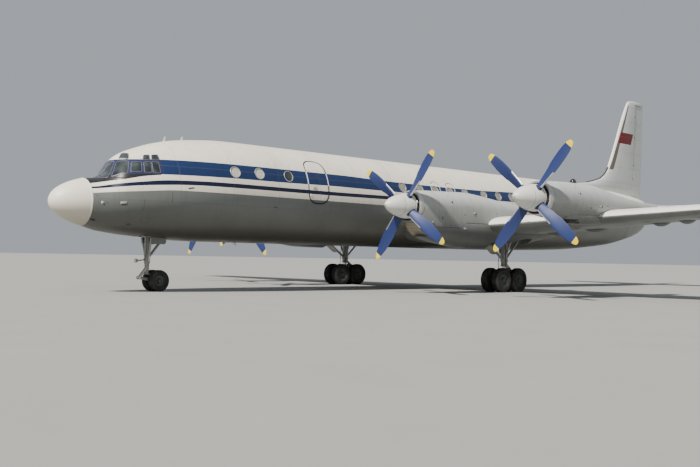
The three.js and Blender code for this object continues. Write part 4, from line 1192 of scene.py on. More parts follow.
marks.append(tube([[0, aft(LAMP_STATION), 10.06], [0, aft(LAMP_STATION), 10.135]], [0.03, 0.022], 12))
bulb = [[0, aft(LAMP_STATION), z] for z in (10.13, 10.14, 10.155, 10.165, 10.169)]
marks.append(tube(bulb, [0.02, 0.036, 0.034, 0.02, 0.004], 16, 1))
ridge_z = np.concatenate([np.linspace(5.35, 6.3, 26), [6.31]])
ridge = np.stack([0 * ridge_z, aft(read_table(FIN, ridge_z)[:, 0]) + 0.012, ridge_z], -1)
marks.append(tube(ridge, 0.048, 12, 2))
piece("fin_fittings", marks, [gap_shadow, red_lens, black_rubber])


# The tailplanes are straight-backed and tapered, white above and grey below, with a rubber strip
# along the nose that swells to crack ice. Each elevator has a round nose, two tab rods and wicks.
TAIL_LEVEL = 4.15
TAIL_ROOT = 0.3
TAIL_TIP = 5.9
TAIL_NOSE = (31.95, 33.56)
TAIL_BACK = 35.08
TAIL_TIP_ROUND = 0.26
ELEVATOR_HINGE = 34.08
ELEVATOR_SPAN = (0.76, 5.56)
ELEVATOR_END = 0.014
ELEVATOR_GAP = 0.01


def tail_share(x):
    """How far along the tailplane from root to tip."""
    return (np.asarray(x, float) - TAIL_ROOT) / (TAIL_TIP - TAIL_ROOT)


def tail_paint(split):
    """White, with the dark rubber strip along the nose."""
    slope = (TAIL_NOSE[1] - TAIL_NOSE[0]) / (TAIL_TIP - TAIL_ROOT)
    behind = minus(split["Y"], plus(times(size(split["X"]), slope), aft(31.86)))
    return blend(between(behind, 0.05, 0.2), WHITE, (0.09, 0.085, 0.08))


def tail_rows(x, shrink):
    """Rings of the tailplane, each drawn in towards the middle of its chord near the tip."""
    share, side = section_steps(26)
    nose = TAIL_NOSE[0] + (TAIL_NOSE[1] - TAIL_NOSE[0]) * tail_share(x)
    middle = ((nose + TAIL_BACK) / 2)[:, None]
    half = ((TAIL_BACK - nose) / 2 * shrink)[:, None]
    thick = ((0.33 - 0.18 * tail_share(x)) * shrink)[:, None]
    up = side * (half_thickness(share, 1.0) * thick + 0.0015)
    return np.stack([x[:, None] + 0 * up, aft(middle - half + share * 2 * half), TAIL_LEVEL + up], -1)


def elevator_radius(x):
    """The radius of the elevator's round nose."""
    return 0.096 - 0.05 * tail_share(x)


def tail_line(xs, station):
    """A straight line across the tailplane at its middle level."""
    return np.stack([xs, 0 * xs + aft(station), 0 * xs + TAIL_LEVEL], -1)


tail_upper = sheet_metal("tailplane_paint", WHITE, 0.38, 0.6, NO_JOINTS, tail_paint)
tail_lower = sheet_metal("tailplane_lower_paint", GREY, 0.4, 0.7, NO_JOINTS)
TAIL_PAINTS = [tail_upper, tail_lower]
tip_start = TAIL_TIP - TAIL_TIP_ROUND
tail_tip = np.sin(np.linspace(0, np.pi / 2, 12))
tail_x = np.concatenate([np.linspace(TAIL_ROOT, tip_start, 20), tip_start + tail_tip[1:] * TAIL_TIP_ROUND])
tail_shrink = np.concatenate([np.ones(19), 0.55 + 0.45 * np.sqrt(1 - (0.985 * tail_tip) ** 2)])
end = ELEVATOR_SPAN[1]
for side in SIDES:
    fronts = [aft(ELEVATOR_HINGE) - elevator_radius(x) - ELEVATOR_GAP for x in (0, end)]
    plan = [(0, fronts[0]), (end, fronts[1]), (end, aft(35.6)), (0, aft(35.6))]
    block = grid([[(x, y, z) for x, y in plan] for z in (TAIL_LEVEL - 0.2, TAIL_LEVEL + 0.2)])
    name = "tailplane_" + side
    plane = sided([grid(tail_rows(tail_x, tail_shrink))], side)
    tailplane = by_material(name + "_skin", plane, TAIL_PAINTS, name)
    combined(tailplane, "DIFFERENCE", sided([block], side), gap_shadow)
    xs = np.linspace(ELEVATOR_SPAN[0], end - ELEVATOR_END, 22)
    hinge = tail_line(xs, ELEVATOR_HINGE)
    parts = [panel_part(hinge, tail_line(xs, TAIL_BACK), elevator_radius(xs), [1, 0, 0])]
    parts.append(tube(tail_line(np.array([xs[-1] - 0.06, end]), ELEVATOR_HINGE), 0.022, 12))
    for x in (1.6, 2.6):
        parts.append(tube([[x, aft(34.4), TAIL_LEVEL - 0.075], [x, aft(34.75), TAIL_LEVEL - 0.05]], 0.01, 8))
    for x in (4.2, 4.9, 5.4):
        wick = [[x, aft(TAIL_BACK) - 0.01, TAIL_LEVEL], [x, aft(TAIL_BACK) + 0.1, TAIL_LEVEL - 0.01]]
        parts.append(tube(wick, [0.004, 0.002], 6))
    name = "elevator_" + side
    elevator = by_material(name + "_skin", sided(parts, side), TAIL_PAINTS, name, name)


# The tail cone ends in a white navigation lamp. Its ribbed glass is a moulding that fits over
# the open end of the cone.
cone_end = on_body(35.86, around(18))
cone_middle = cone_end.mean(axis=0)
lamp_rows = [cone_middle + (cone_end - cone_middle) * share + [0, step, 0]
             for share, step in ((0.7, -0.02), (0.7, 0.01), (0.55, 0.028), (0.2, 0.037))]
clear_lamp = lamp_glass("clear_lamp", (0.6, 0.6, 0.58), (0.5, 0.5, 0.48), (0.75, 0.75, 0.73), 40, 0.1, 1.0)
piece("tail_lamp", [grid(lamp_rows)], [clear_lamp])


# A nacelle is a round cowl of alloy panels on hinges and latches, with a bright steel intake lip.
# The inner ones are deeper, for a chin scoop and the bay that the main wheels fold into.
COWL = np.array([
    # behind the propeller plane, half width, bottom below the axis, top above it: inner, outer
    [0.25, 0.54, 0.54, 0.54, 0.54],
    [0.33, 0.56, 0.556, 0.552, 0.552],
    [0.9, 0.615, 0.62, 0.585, 0.59],
    [2.0, 0.64, 0.66, 0.62, 0.62],
    [3.1, 0.645, 0.645, 0.645, 0.615],
    [3.8, 0.635, 0.62, 0.6, 0.53],
    [4.8, 0.6, 0.53, 0.49, 0.38],
    [6.0, 0.51, 0.44, 0.365, 0.255],
    [6.8, 0.415, 0.37, 0.285, 0.21],
    [7.7, 0.29, 0.33, 0.19, 0.19],
])
INNER_COWL = COWL[:, :4]
OUTER_COWL = COWL[:, [0, 1, 2, 4]]
COWL_START, COWL_END = COWL[[0, -1], 0]
GEAR_FAIRING = np.array([
    # behind the propeller plane, half width, bottom below the axis, top above it
    [0.19, 0.38, 0.545, -0.06],
    [0.42, 0.5, 0.85, 0.0],
    [0.8, 0.575, 1.095, 0.0],
    [1.3, 0.63, 1.21, 0.0],
    [1.9, 0.665, 1.3, 0.0],
    [2.8, 0.69, 1.395, 0.0],
    [4.2, 0.7, 1.41, 0.0],
    [5.2, 0.69, 1.4, 0.0],
    [6.5, 0.6, 1.24, -0.1],
    [7.8, 0.42, 1.01, -0.3],
    [8.9, 0.2, 0.83, -0.48],
    [9.25, 0.05, 0.73, -0.6],
])
OIL_COOLER = np.array([
    # the same columns
    [1.45, 0.4, 0.69, -0.25],
    [1.7, 0.455, 0.765, -0.25],
    [2.1, 0.475, 0.78, -0.25],
    [2.9, 0.47, 0.77, -0.25],
    [3.9, 0.43, 0.72, -0.25],
    [4.7, 0.35, 0.62, -0.25],
    [5.2, 0.25, 0.5, -0.25],
])
ENGINES = {
    # span, propeller plane, axis height
    "inner": (4.5, 10.81, 3.05),
    "outer": (9.08, 11.83, 3.24),
}
EACH_ENGINE = [(side, f"{place}_{side}", spot, place == "inner")
               for side in SIDES for place, spot in ENGINES.items()]
MAIN_BAY = (15.05, 17.75, 0.52, 2.08)
PIPE_DROP = -0.07


def on_cowl(table, spot, behind, angle, out=0.0):
    """A point on a cowl at an angle round its ring, which is an ellipse between the ring's top and
    bottom, and a step off the skin."""
    span, plane, axis = spot
    behind, angle, out = all_alike(behind, angle, out)
    half, bottom, top = read_table(table, behind.ravel()).T.reshape(3, *behind.shape)
    rise = (top + bottom) / 2
    up = axis + (top - bottom) / 2 + rise * np.sin(angle)
    skin = np.stack([span + half * np.cos(angle), aft(plane + behind), up], -1)
    return off_skin(skin, rise, half, angle, out)


def side_reach(spot, point):
    """How far out the flat side of an inner nacelle stands, from the widest point of the round
    cowl above to that of the gear fairing below. Outside those heights it is nought."""
    _, plane, axis = spot
    behind = point[..., 1] - aft(plane)
    wide, bottom, top = read_table(INNER_COWL, behind.ravel()).T.reshape(3, *behind.shape)
    low_wide, low_bottom, low_top = read_table(GEAR_FAIRING, behind.ravel()).T.reshape(3, *behind.shape)
    upper = axis + (top - bottom) / 2
    lower = axis + (low_top - low_bottom) / 2
    share = (upper - point[..., 2]) / (upper - lower)
    reach = wide + (low_wide - wide) * share
    return np.where((share > 0) & (share < 1) & (behind > COWL_START) & (behind < COWL_END), reach, 0)


def inner_nacelle(spot, count=24):
    """The skin of an inner nacelle: half of the round cowl's ring above, half of the gear fairing's
    ring below and flat sides between them. Ahead of and behind the cowl only the fairing is left."""
    first, last = GEAR_FAIRING[[0, -1], 0]
    under = np.linspace(COWL_START, COWL_END, 60)
    at = np.concatenate([[first, COWL_START - 0.0001], under, np.linspace(COWL_END + 0.0001, last, 16)])
    upper = np.linspace(0, np.pi, count + 1)
    alone = ((at < COWL_START) | (at > COWL_END))[:, None, None]
    cap = on_cowl(INNER_COWL, spot, at[:, None], upper)
    cap = np.where(alone, on_cowl(GEAR_FAIRING, spot, at[:, None], upper), cap)
    base = on_cowl(GEAR_FAIRING, spot, at[:, None], np.linspace(np.pi, 2 * np.pi, count + 1))
    steps = np.array([0.2, 0.4, 0.6, 0.8])[:, None]
    down = cap[:, -1:] + (base[:, :1] - cap[:, -1:]) * steps
    up = base[:, -1:] + (cap[:, :1] - base[:, -1:]) * steps
    return grid(np.concatenate([cap, down, base, up], axis=1))


def cowl_body(table, spot, count):
    """A cowl through the rings of a table."""
    at = np.unique(np.concatenate([np.linspace(table[0, 0], table[-1, 0], count), table[:, 0]]))
    return grid(on_cowl(table, spot, at[:, None], around(72)))


def behind_spot(spot, behind, up=0.0):
    """A point in line with an engine, behind its propeller plane."""
    span, plane, axis = spot
    return np.array([span, aft(plane + behind), axis + up])


def duct_plug(spot, outline, ends, slant=0.0):
    """A plug with round corners that runs fore and aft. slant leans its ends: aft for each metre down."""
    half, low, high, corner = outline
    outline = slab(half, low, high, corner, 8)
    rows = []
    for end in ends:
        behind = end + slant * (high - outline[:, 1])
        rows.append(behind_spot(spot, 0) + np.stack([outline[:, 0], behind, outline[:, 1]], -1))
    return grid(rows)


COWL_GREY = (0.5, 0.51, 0.495)
BETWEEN_ENGINES = 6.8


def cowl_colour(split):
    """Light grey, painted darker towards the bottom and darker on the outer pair: painted shade."""
    outer = above(size(split["X"]), BETWEEN_ENGINES)
    level = minus(split["Z"], times(outer, 0.25))
    return blend(ramp(level, 3.5, 2.2), COWL_GREY, (0.1, 0.108, 0.104))


def core_fins(split):
    """The face of a cooler: a close grid of thin fins between flat tubes."""
    fins = below(maths("FRACT", over(split["X"], 0.026)), 0.3)
    tubes = below(maths("FRACT", over(split["Z"], 0.05)), 0.22)
    return blend(larger(fins, tubes), (0.17, 0.14, 0.095), (0.46, 0.41, 0.31))


cowl_paint = sheet_metal("cowl_paint", COWL_GREY, 0.38, 0.7, (0.92, 50.0), cowl_colour)
# Near-black is soot in the nozzles, and painted shade in the intakes, cooler mouths, compressor faces and
# small holes.
soot_and_shade_black = mottled("duct_interior", (0.02, 0.02, 0.02), 0.7, (5, 3),
                     (0.012, 0.012, 0.012), (0.05, 0.048, 0.045))
scoop_lining = sheet_metal("scoop_lining", (0.13, 0.105, 0.07), 0.6, 0.9, (0.4, 50.0))
cooler_core = sheet_metal("cooler_core", (0.3, 0.26, 0.19), 0.55, 0.8, NO_JOINTS, core_fins)
for side, name, spot, inner in EACH_ENGINE:
    tools = [
        (tube([behind_spot(spot, 0), behind_spot(spot, 1.1)], 0.5, 64), soot_and_shade_black),
        (tube([behind_spot(spot, end, PIPE_DROP) for end in (6.8, 7.9)], 0.238, 48), soot_and_shade_black),
    ]
    if inner:
        front, back, half, roof = MAIN_BAY
        bodies = [inner_nacelle(spot)]
        tools.append((duct_plug(spot, (0.43, -1.04, -0.58, 0.19), (0.0, 1.35)), scoop_lining))
        tools.append((box_part(spot[0] - half, spot[0] + half, aft(front), aft(back), 1, roof), inner_walls))
        core = duct_plug(spot, (0.428, -1.038, -0.582, 0.188), (0.42, 0.5), 1.08)
    else:
        bodies = [cowl_body(OUTER_COWL, spot, 44), cowl_body(OIL_COOLER, spot, 24)]
        tools.append((duct_plug(spot, (0.5, -0.735, -0.63, 0.04), (1.4, 2.1), -3.5), soot_and_shade_black))
        core = duct_plug(spot, (0.36, -0.75, -0.6, 0.04), (1.6, 2.2))
    name = "nacelle_" + name
    skin = piece(name + "_skin", sided(bodies[:1], side), [cowl_paint], name)
    for body in bodies[1:]:
        combined(skin, "UNION", sided([body], side), cowl_paint)
    for tool, lining in tools:
        combined(skin, "DIFFERENCE", sided([tool], side), lining)
    # On the outer pair a black plug fills the cooler's mouth: painted shade for the duct behind it.
    piece(name + "_cooler_core", sided([core], side), [cooler_core if inner else soot_and_shade_black])


# The intake has a rolled lip of bright steel. Behind it stand the engine's nose cone, a ring of
# guide vanes and a dark compressor face. The nozzle at the back is heat-stained steel with a tail cone.
hot_steel = mottled("heated_steel", (0.22, 0.18, 0.15), 0.45, (3.2, 4),
                    (0.1, 0.085, 0.075), (0.34, 0.27, 0.2), 0.85, relief=0.002)
LIP_RING = [(0.33, 0.497), (0.25, 0.512), (0.243, 0.522), (0.244, 0.535), (0.258, 0.548), (0.3, 0.5575),
            (0.36, 0.5655), (0.4, 0.568)]
LIP_LIFT = 0.0025


def round_engine(spot, behind, radius, angle):
    """A point at a distance from an engine's axis."""
    return behind_spot(spot, behind) + radius * np.stack([np.cos(angle), 0 * angle, np.sin(angle)], -1)


def on_axis(spot, ends, radius, sides, material=0, up=0.0, caps=(True, True)):
    """A round part on an engine's axis through points behind the propeller plane."""
    return tube([behind_spot(spot, end, up) for end in ends], radius, sides, material, caps)


for side, name, spot, _ in EACH_ENGINE:
    lip = [round_engine(spot, behind, radius + LIP_LIFT, around(72)) for behind, radius in LIP_RING]
    parts = [grid(lip, caps=OPEN, inside=behind_spot(spot, 0.3))]
    parts.append(on_axis(spot, (0.3, 0.36, 0.48, 0.52), [0.19, 0.2, 0.24, 0.3], 40))
    for vane in around(26):
        ends = [round_engine(spot, 0.47, 0.27, vane), round_engine(spot, 0.52, 0.495, vane)]
        parts.append(tube(ends, [0.016, 0.02], 6, 1))
    # The compressor face is a black disc: painted shade deep in the intake.
    parts.append(on_axis(spot, (0.56, 0.6), 0.499, 48, 2))
    parts.append(on_axis(spot, (7.55, 7.72), 0.236, 48, 1, PIPE_DROP, OPEN))
    parts.append(on_axis(spot, (7.62, 7.74), 0.246, 48, 1, PIPE_DROP, OPEN))
    parts.append(on_axis(spot, (7.0, 7.35, 7.52), [0.16, 0.13, 0.02], 24, 1, PIPE_DROP))
    name = "engine_" + name
    piece(name + "_intake", sided(parts, side), [bare_metal, hot_steel, soot_and_shade_black], name)


# Small fittings on each cowl: latches, drain and breather holes, blisters over bolts, and short
# cooling scoops. The deep fairings of the inner pair show two long joints and a lifting point.
def cowl_patch(table, spot, behind, angle, outline, profile, material=0):
    """Rings round an outline that lies on a cowl, in the way that fitted does on the fuselage."""
    half, bottom, top = read_table(table, behind)[0]
    angle = math.radians(angle)
    girth = math.hypot(half * math.sin(angle), (top + bottom) / 2 * math.cos(angle))
    rows = []
    for flat, out in outline_rows(outline, profile):
        row = on_cowl(table, spot, behind + flat[:, 0], angle + flat[:, 1] / girth, out)
        if spot == ENGINES["inner"]:
            row[:, 0] = np.maximum(row[:, 0], spot[0] + side_reach(spot, row) + out)
        rows.append(row)
    return grid(rows, caps=(True, False), material=material, inside=behind_spot(spot, behind))


FLAT_SPOT = [(0.1, 0, 0.003), (0.9, 0, 0.003), (1, 0, -0.001)]
DISC = [(0.1, 0, 0.0045), (1, 0, 0.0045), (1, 0, 0)]
STUD = [(0.1, 0, 0.012), (1, 0, 0.012), (1, 0, 0)]
BLISTER = [(0.1, 0, 0.032), (0.4, 0, 0.029), (0.75, 0, 0.017), (1, 0, -0.001)]
LATCH = [(0.1, 0, 0.007), (0.9, 0, 0.007), (1, 0, 0.004), (1, 0.003, -0.001)]
latch_shape = plate(0.05, 0.014, 0.012)
slot_shape = plate(0.016, 0.06, 0.014)
FAIRING_MARKS = [
    # behind the propeller plane, angle, outline, profile, material
    (1.32, 22, slot_shape, FLAT_SPOT, 3),
    (2.49, -2, plate(0.07, 0.028, 0.014), BLISTER, 0),
    (0.86, 1, circle(0.04, 20), BLISTER, 2),
    (1.35, -3, circle(0.02, 16) * [0.8, 1.6], FLAT_SPOT, 3),
    (1.75, 1, circle(0.02, 16), FLAT_SPOT, 3),
]
for side, name, spot, inner in EACH_ENGINE:
    span, plane, axis = spot
    cowl = INNER_COWL if inner else OUTER_COWL
    marks = [
        (1.78, 45, circle(0.02, 16), FLAT_SPOT, 3),
        (1.86, 21, circle(0.058, 28), FLAT_SPOT, 0),
        (1.86, 21, circle(0.036, 24), DISC, 3),
        (3.05, -13, circle(0.06, 24) * [1.2, 0.7], BLISTER, 2),
        (3.15, -13, slot_shape * [0.7, 0.5], STUD, 3),
        (4.4 if inner else 3.5, -8, circle(0.022, 16), FLAT_SPOT, 3),
        (2.52, -19, circle(0.024, 16), FLAT_SPOT, 3),
    ]
    for angle in (62, 90, 118) if inner else (62, 90, 118, 205, 335):
        marks += [(behind, angle, latch_shape, LATCH, 2) for behind in (1.05, 1.97, 2.89)]
    parts = [cowl_patch(cowl, spot, *mark) for mark in marks]
    for angle, behind, wide in ((160, 2.35, 0.07), (112, 1.4, 0.05)):
        centre = on_cowl(cowl, spot, behind, math.radians(angle), 0.02)
        path = [centre + [0, step, 0] for step in (0, 0.05, 0.16, 0.3, 0.42)]
        parts.append(tube(path, wide * np.array([1, 1.05, 0.95, 0.6, 0.15]), 20, 2, (False, True)))
        parts.append(tube([centre + [0, 0.012, 0], centre + [0, 0.016, 0]], wide * 0.9, 20, 3))
    if inner:
        parts += [cowl_patch(GEAR_FAIRING, spot, *mark) for mark in FAIRING_MARKS]
        for height, start, end in ((2.35, 0.77, 2.2), (2.55, 2.54, 3.8)):
            line = np.linspace(start, end, 16)
            _, bottom, top = read_table(GEAR_FAIRING, line).T
            rise = np.arcsin((height - axis - (top - bottom) / 2) / ((top + bottom) / 2))
            seam = on_cowl(GEAR_FAIRING, spot, line, rise)
            seam[:, 0] = np.maximum(seam[:, 0], span + side_reach(spot, seam))
            parts.append(tube(seam, 0.006, 6, 3))
    materials = [bare_metal, hot_steel, cowl_paint, soot_and_shade_black]
    piece(f"nacelle_{name}_fittings", sided(parts, side), materials)


# A propeller has four solid alloy blades with a wide paddle shape, painted blue with a yellow tip.
# Each has a heated strip on its nose near the root. The white spinner covers the pitch-changing hub.
SPINNER = np.array([
    # distance ahead of the propeller plane, radius
    [-0.18, 0.448], [0.1, 0.42], [0.4, 0.345], [0.66, 0.245], [0.83, 0.138], [0.9, 0.052], [0.915, 0.0],
])
BLADE = np.array([
    # radius, chord, thickness, pitch in degrees
    [0.33, 0.27, 0.15, 42.0],
    [0.5, 0.325, 0.118, 32.0],
    [0.76, 0.35, 0.084, 24.0],
    [1.08, 0.372, 0.064, 18.0],
    [1.22, 0.416, 0.056, 15.0],
    [1.55, 0.403, 0.042, 9.0],
    [1.82, 0.356, 0.032, 3.0],
    [2.06, 0.275, 0.022, -3.0],
    [2.19, 0.19, 0.015, -5.0],
    [2.235, 0.12, 0.01, -6.0],
    [2.25, 0.03, 0.006, -6.0],
])
FIRST_BLADE = {"inner_port": 54.7, "outer_port": 49.4, "inner_starboard": 38.0, "outer_starboard": 61.0}
TIP_PAINT = 2.07
NOSE_STRIP = (0.5, 1.12)
STRIP_LIFT = 0.0035
STRIP_COLUMNS = [25, 26, 27, 0, 1, 2, 3]
BLADE_ROOT = (0.185, 0.105)
blade_blue = worn_metal("blade_blue", (0.013, 0.026, 0.12), 0.5, 0.6,
                        (0.013, 0.027, 0.125), (0.017, 0.027, 0.09), 0.002, 0.4)
tip_yellow = sheet_metal("tip_yellow", (0.82, 0.6, 0.0), 0.5, 0.4, NO_JOINTS)
spinner_white = sheet_metal("spinner_white", (0.66, 0.65, 0.6), 0.36, 0.6, NO_JOINTS)
BLADE_MATERIALS = [blade_blue, tip_yellow, bare_metal, spinner_white, gap_shadow]


def spinner_radius(ahead):
    """The radius of the spinner, from squares between the rows, so that its nose is round."""
    squares = np.c_[SPINNER[:, 0], SPINNER[:, 1] ** 2]
    return np.sqrt(np.clip(read_table(squares, ahead)[:, 0], 0.0002, None))


def spinner_ring(ahead, lift, turns):
    """A ring on the spinner with a step off its skin."""
    radius = spinner_radius(ahead)[:, None] + np.reshape(lift, (-1, 1))
    far = -np.reshape(ahead, (-1, 1)) + 0 * turns
    return np.stack([radius * np.cos(turns), far, radius * np.sin(turns)], -1)


def blade_rows(radii, count=28):
    """Rings of a blade: at each radius an aerofoil with its nose at the first point. Its depth is a
    sine that is fuller towards the nose, and near the root it becomes a plain oval."""
    chord, thickness, pitch = read_table(BLADE, radii).T[..., None]
    root = np.clip((0.8 - radii) / 0.3, 0, 1)[:, None]
    fuller = (0.62 + 0.38 * np.cos(around(count))) / 0.8
    flat = chord * np.cos(around(count)) * 0.5
    out = thickness * np.sin(around(count)) * 0.5 * (root + (1 - root) * fuller)
    turn = np.radians(pitch)
    across = flat * np.cos(turn) + out * np.sin(turn)
    return np.stack([across, out * np.cos(turn) - flat * np.sin(turn), radii[:, None] + 0 * flat], -1)


def root_patch():
    """A dark oval on the spinner round the foot of a blade, turned with the blade's pitch."""
    turn = math.radians(BLADE[0, 3])
    oval = circle(1, 36) * BLADE_ROOT
    rows = []
    for share, lift in ((0.1, 0.004), (0.6, 0.004), (1, 0.004), (1.02, -0.012)):
        x = share * (oval[:, 0] * math.cos(turn) + oval[:, 1] * math.sin(turn))
        y = share * (oval[:, 1] * math.cos(turn) - oval[:, 0] * math.sin(turn))
        rows.append(np.stack([x, y, np.sqrt((spinner_radius(-y) + lift) ** 2 - x**2)], -1))
    return rows


def turned_about_y(points, degrees):
    """Points turned about the Y axis, clockwise as seen from ahead of the nose."""
    a = math.radians(degrees)
    x, y, z = np.moveaxis(np.asarray(points, float), -1, 0)
    return np.stack([x * math.cos(a) + z * math.sin(a), y, z * math.cos(a) - x * math.sin(a)], -1)


ahead = np.concatenate([np.linspace(0.969, 0.9, 12), np.linspace(0.9, -0.18, 26)[1:]])
radii = np.concatenate([np.linspace(0.33, 0.9, 12), np.linspace(0.9, TIP_PAINT, 20)[1:]])
tips = np.concatenate([np.linspace(TIP_PAINT, 2.19, 7), np.linspace(2.19, 2.25, 10)[1:]])
strip = blade_rows(np.linspace(*NOSE_STRIP, 16))
away = strip - strip.mean(axis=1, keepdims=True)
strip = strip + STRIP_LIFT * away / np.linalg.norm(away, axis=2, keepdims=True)
for side, name, (span, plane, axis), _ in EACH_ENGINE:
    parts = [grid(spinner_ring(ahead, 0 * ahead, around(64)), material=3)]
    for seam in (0.3, -0.1):
        edges = seam + np.array([0.005, 0.004, -0.004, -0.005])
        band = spinner_ring(edges, [-0.002, 0.0012, 0.0012, -0.002], around(64))
        parts.append(grid(band, caps=OPEN, material=4))
    for turn in (0, 90, 180, 270):
        degrees = 90 - FIRST_BLADE[name] + turn
        parts.append(grid(turned_about_y(blade_rows(radii), degrees), caps=(True, False)))
        parts.append(grid(turned_about_y(blade_rows(tips), degrees), caps=(False, True), material=1))
        core = turned_about_y([0, 0, 0.8], degrees)
        nose = turned_about_y(strip[:, STRIP_COLUMNS], degrees)
        parts.append(grid(nose, wrap=False, material=2, inside=core))
        oval = turned_about_y(root_patch(), degrees)
        parts.append(grid(oval, caps=(True, False), material=4, inside=(0, 0, 0)))
    parts.append(tube([[0, 0.17, 0], [0, 0.29, 0]], 0.075, 24, 2))
    centre = [span if side == "port" else -span, aft(plane), axis]
    placed = [(points + centre, quads, fans, tint) for points, quads, fans, tint in parts]
    name = "propeller_" + name
    made = piece(name + "_assembly", placed, BLADE_MATERIALS, name, name)


# Tyres are ribbed rubber on wheels of cast light alloy in two bolted halves, with a dished face,
# a ring of bolts and a hub cap. Twin wheels share one axle, and a flat shows where a tyre stands.
MAIN_WHEEL = (4.5, 16.54, 0.465, 0.305, 0.54)
NOSE_WHEEL = (0.0, 3.76, 0.35, 0.25, 0.38)
WHEELBASE = 1.0
RIM_SHARE = 0.52
TREAD_SWELL = 1.012
tyre_rubber, shader, place = material_with("tyre_rubber", (0.022, 0.022, 0.023), 0.82)
dusty = ramp(noise(place, 6, 6), 0.42, 0.8)
feed(shader, "Base Color", blend(dusty, (0.013, 0.013, 0.014), (0.05, 0.048, 0.044)))
bumped(shader, noise(place, 90, 2), 0.002)
# The wheels' green paint is made nearly black: painted shade, as they stand in the shade under the aircraft.
shaded_wheel_green = sheet_metal("shaded_wheel_green", (0.05, 0.062, 0.05), 0.5, 0.9, NO_JOINTS)
gear_grey = sheet_metal("gear_grey", (0.3, 0.305, 0.285), 0.42, 0.9, NO_JOINTS, metallic=0.2)
chrome, shader, place = material_with("sliding_chrome", (0.7, 0.7, 0.7), 0.14, 1.0)
wiped = noise(place, 14, 3)
feed(shader, "Roughness", times(wiped, 0.4))
feed(shader, "Base Color", blend(wiped, (0.74, 0.74, 0.74), (0.5, 0.49, 0.47)))
SIDEWALL = [(0.74, 0.0), (0.86, 0.05), (0.97, 0.2), (1.0, 0.4), (0.98, 0.6),
            (0.92, 0.78), (0.8, 0.9), (0.62, 0.975)]
TYRE = [(-across, out) for across, out in SIDEWALL]
for middle in (-0.4, -0.14, 0.14, 0.4):
    TYRE += [(middle - 0.07, 1.0), (middle - 0.05, 0.965), (middle + 0.05, 0.965), (middle + 0.07, 1.0)]
TYRE += SIDEWALL[::-1]


def turned_part(profile, x, y, z, count, material=0, closed=True):
    """A piece turned about an axle along X: each profile row is a radius and a distance along X."""
    profile = np.asarray(profile, float)
    far = profile[:, :1]
    rows = [x + profile[:, 1:] + 0 * around(count), y + far * np.cos(around(count)),
            z + far * np.sin(around(count))]
    return grid(np.stack(rows, -1), caps=(closed, closed), material=material)


def tyre_part(x, y, radius, width):
    """A tyre ring, pressed flat where it meets the ground."""
    rim = radius * RIM_SHARE
    profile = [(rim + (radius * TREAD_SWELL - rim) * out, across * width / 2) for across, out in TYRE]
    points, quads, fans, material = turned_part(profile + profile[:1], x, y, radius, 64, closed=False)
    low = np.clip(points[:, 2], 0.0, None)
    sunk = np.clip(0.05 - low, 0, 0.05) / 0.05
    side = np.sign(points[:, 0] - x)
    bulge = side * 0.006 * sunk * (np.abs(points[:, 0] - x) > width * 0.3)
    return np.stack([points[:, 0] + bulge, points[:, 1], low], -1), quads, fans, material


def wheel_parts(x, y, radius, width, outward):
    """One wheel: rim flanges, a dished face, bolts round it, and a cap over the axle's end."""
    rim = radius * RIM_SHARE - 0.001
    flange = width * 0.37
    face = flange - 0.012
    profile = [
        (0.0, face + 0.02), (0.05, face + 0.02), (0.07, face + 0.008), (0.078, face - 0.03),
        (rim * 0.5, face - 0.05),
        (rim * 0.62, face - 0.045), (rim * 0.8, face - 0.03), (rim * 0.86, face), (rim * 1.0, face + 0.002),
        (rim * 1.06, flange), (rim * 1.06, flange - 0.012), (rim, flange - 0.03), (rim, -flange + 0.03),
        (rim * 1.06, -flange + 0.012), (rim * 1.06, -flange), (rim * 0.9, -flange),
        (rim * 0.84, -0.02), (0.062, -0.02),
    ]
    profile = [(r, outward * along) for r, along in profile]
    parts = [turned_part(profile, x, y, radius, 48, 0)]
    rings = ((12, 0.7, 0.045, 0.022, 0.011, 6, 1), (8, 0.42, 0.052, 0.006, rim * 0.085, 14, 2))
    for count, share, deep, length, wide, sides, tint in rings:
        for angle in around(count):
            spot = [y + rim * share * math.cos(angle), radius + rim * share * math.sin(angle)]
            start = x + outward * (face - deep)
            parts.append(tube([[start, *spot], [start + outward * length, *spot]], wide, sides, tint))
    drum = [(rim * 0.72, -flange - 0.012), (rim * 0.72, -0.03), (0.07, -0.03), (0.07, -flange - 0.012)]
    drum = [(r, outward * along) for r, along in drum]
    parts.append(turned_part(drum + drum[:1], x, y, radius, 40, 2, closed=False))
    return parts


def wheel_set(body, axle_node, tyres, x, station, radius, width, track):
    """A pair of wheels with their tyres on one axle."""
    y = aft(station)
    parts = [tube([[x - track / 2, y, radius], [x + track / 2, y, radius]], 0.058, 32, 1)]
    for out in (-1, 1):
        parts += wheel_parts(x + out * track / 2, y, radius, width, out)
    wheels = piece(axle_node + "_wheels", parts, [shaded_wheel_green, gear_grey, gap_shadow], axle_node, body)
    for tyre_node, out in tyres:
        ring = tyre_part(x + out * track / 2, y, radius, width)
        tyre = piece(tyre_node + "_ribbed", [ring], [tyre_rubber], tyre_node, body)


for side, sign in (("port", 1), ("starboard", -1)):
    x, station, radius, width, track = MAIN_WHEEL
    for end, step in (("front", -1), ("rear", 1)):
        tyres = [(f"main_tyre_{end}_{hand}_{side}", sign * out)
                 for hand, out in (("inboard", -1), ("outboard", 1))]
        wheel_set(f"main_wheels_{end}_{side}", f"main_axle_{end}_{side}", tyres,
                  sign * x, station + step * WHEELBASE / 2, radius, width, track)
wheel_set("nose_wheels", "nose_axle", [("nose_tyre_port", 1), ("nose_tyre_starboard", -1)], *NOSE_WHEEL)


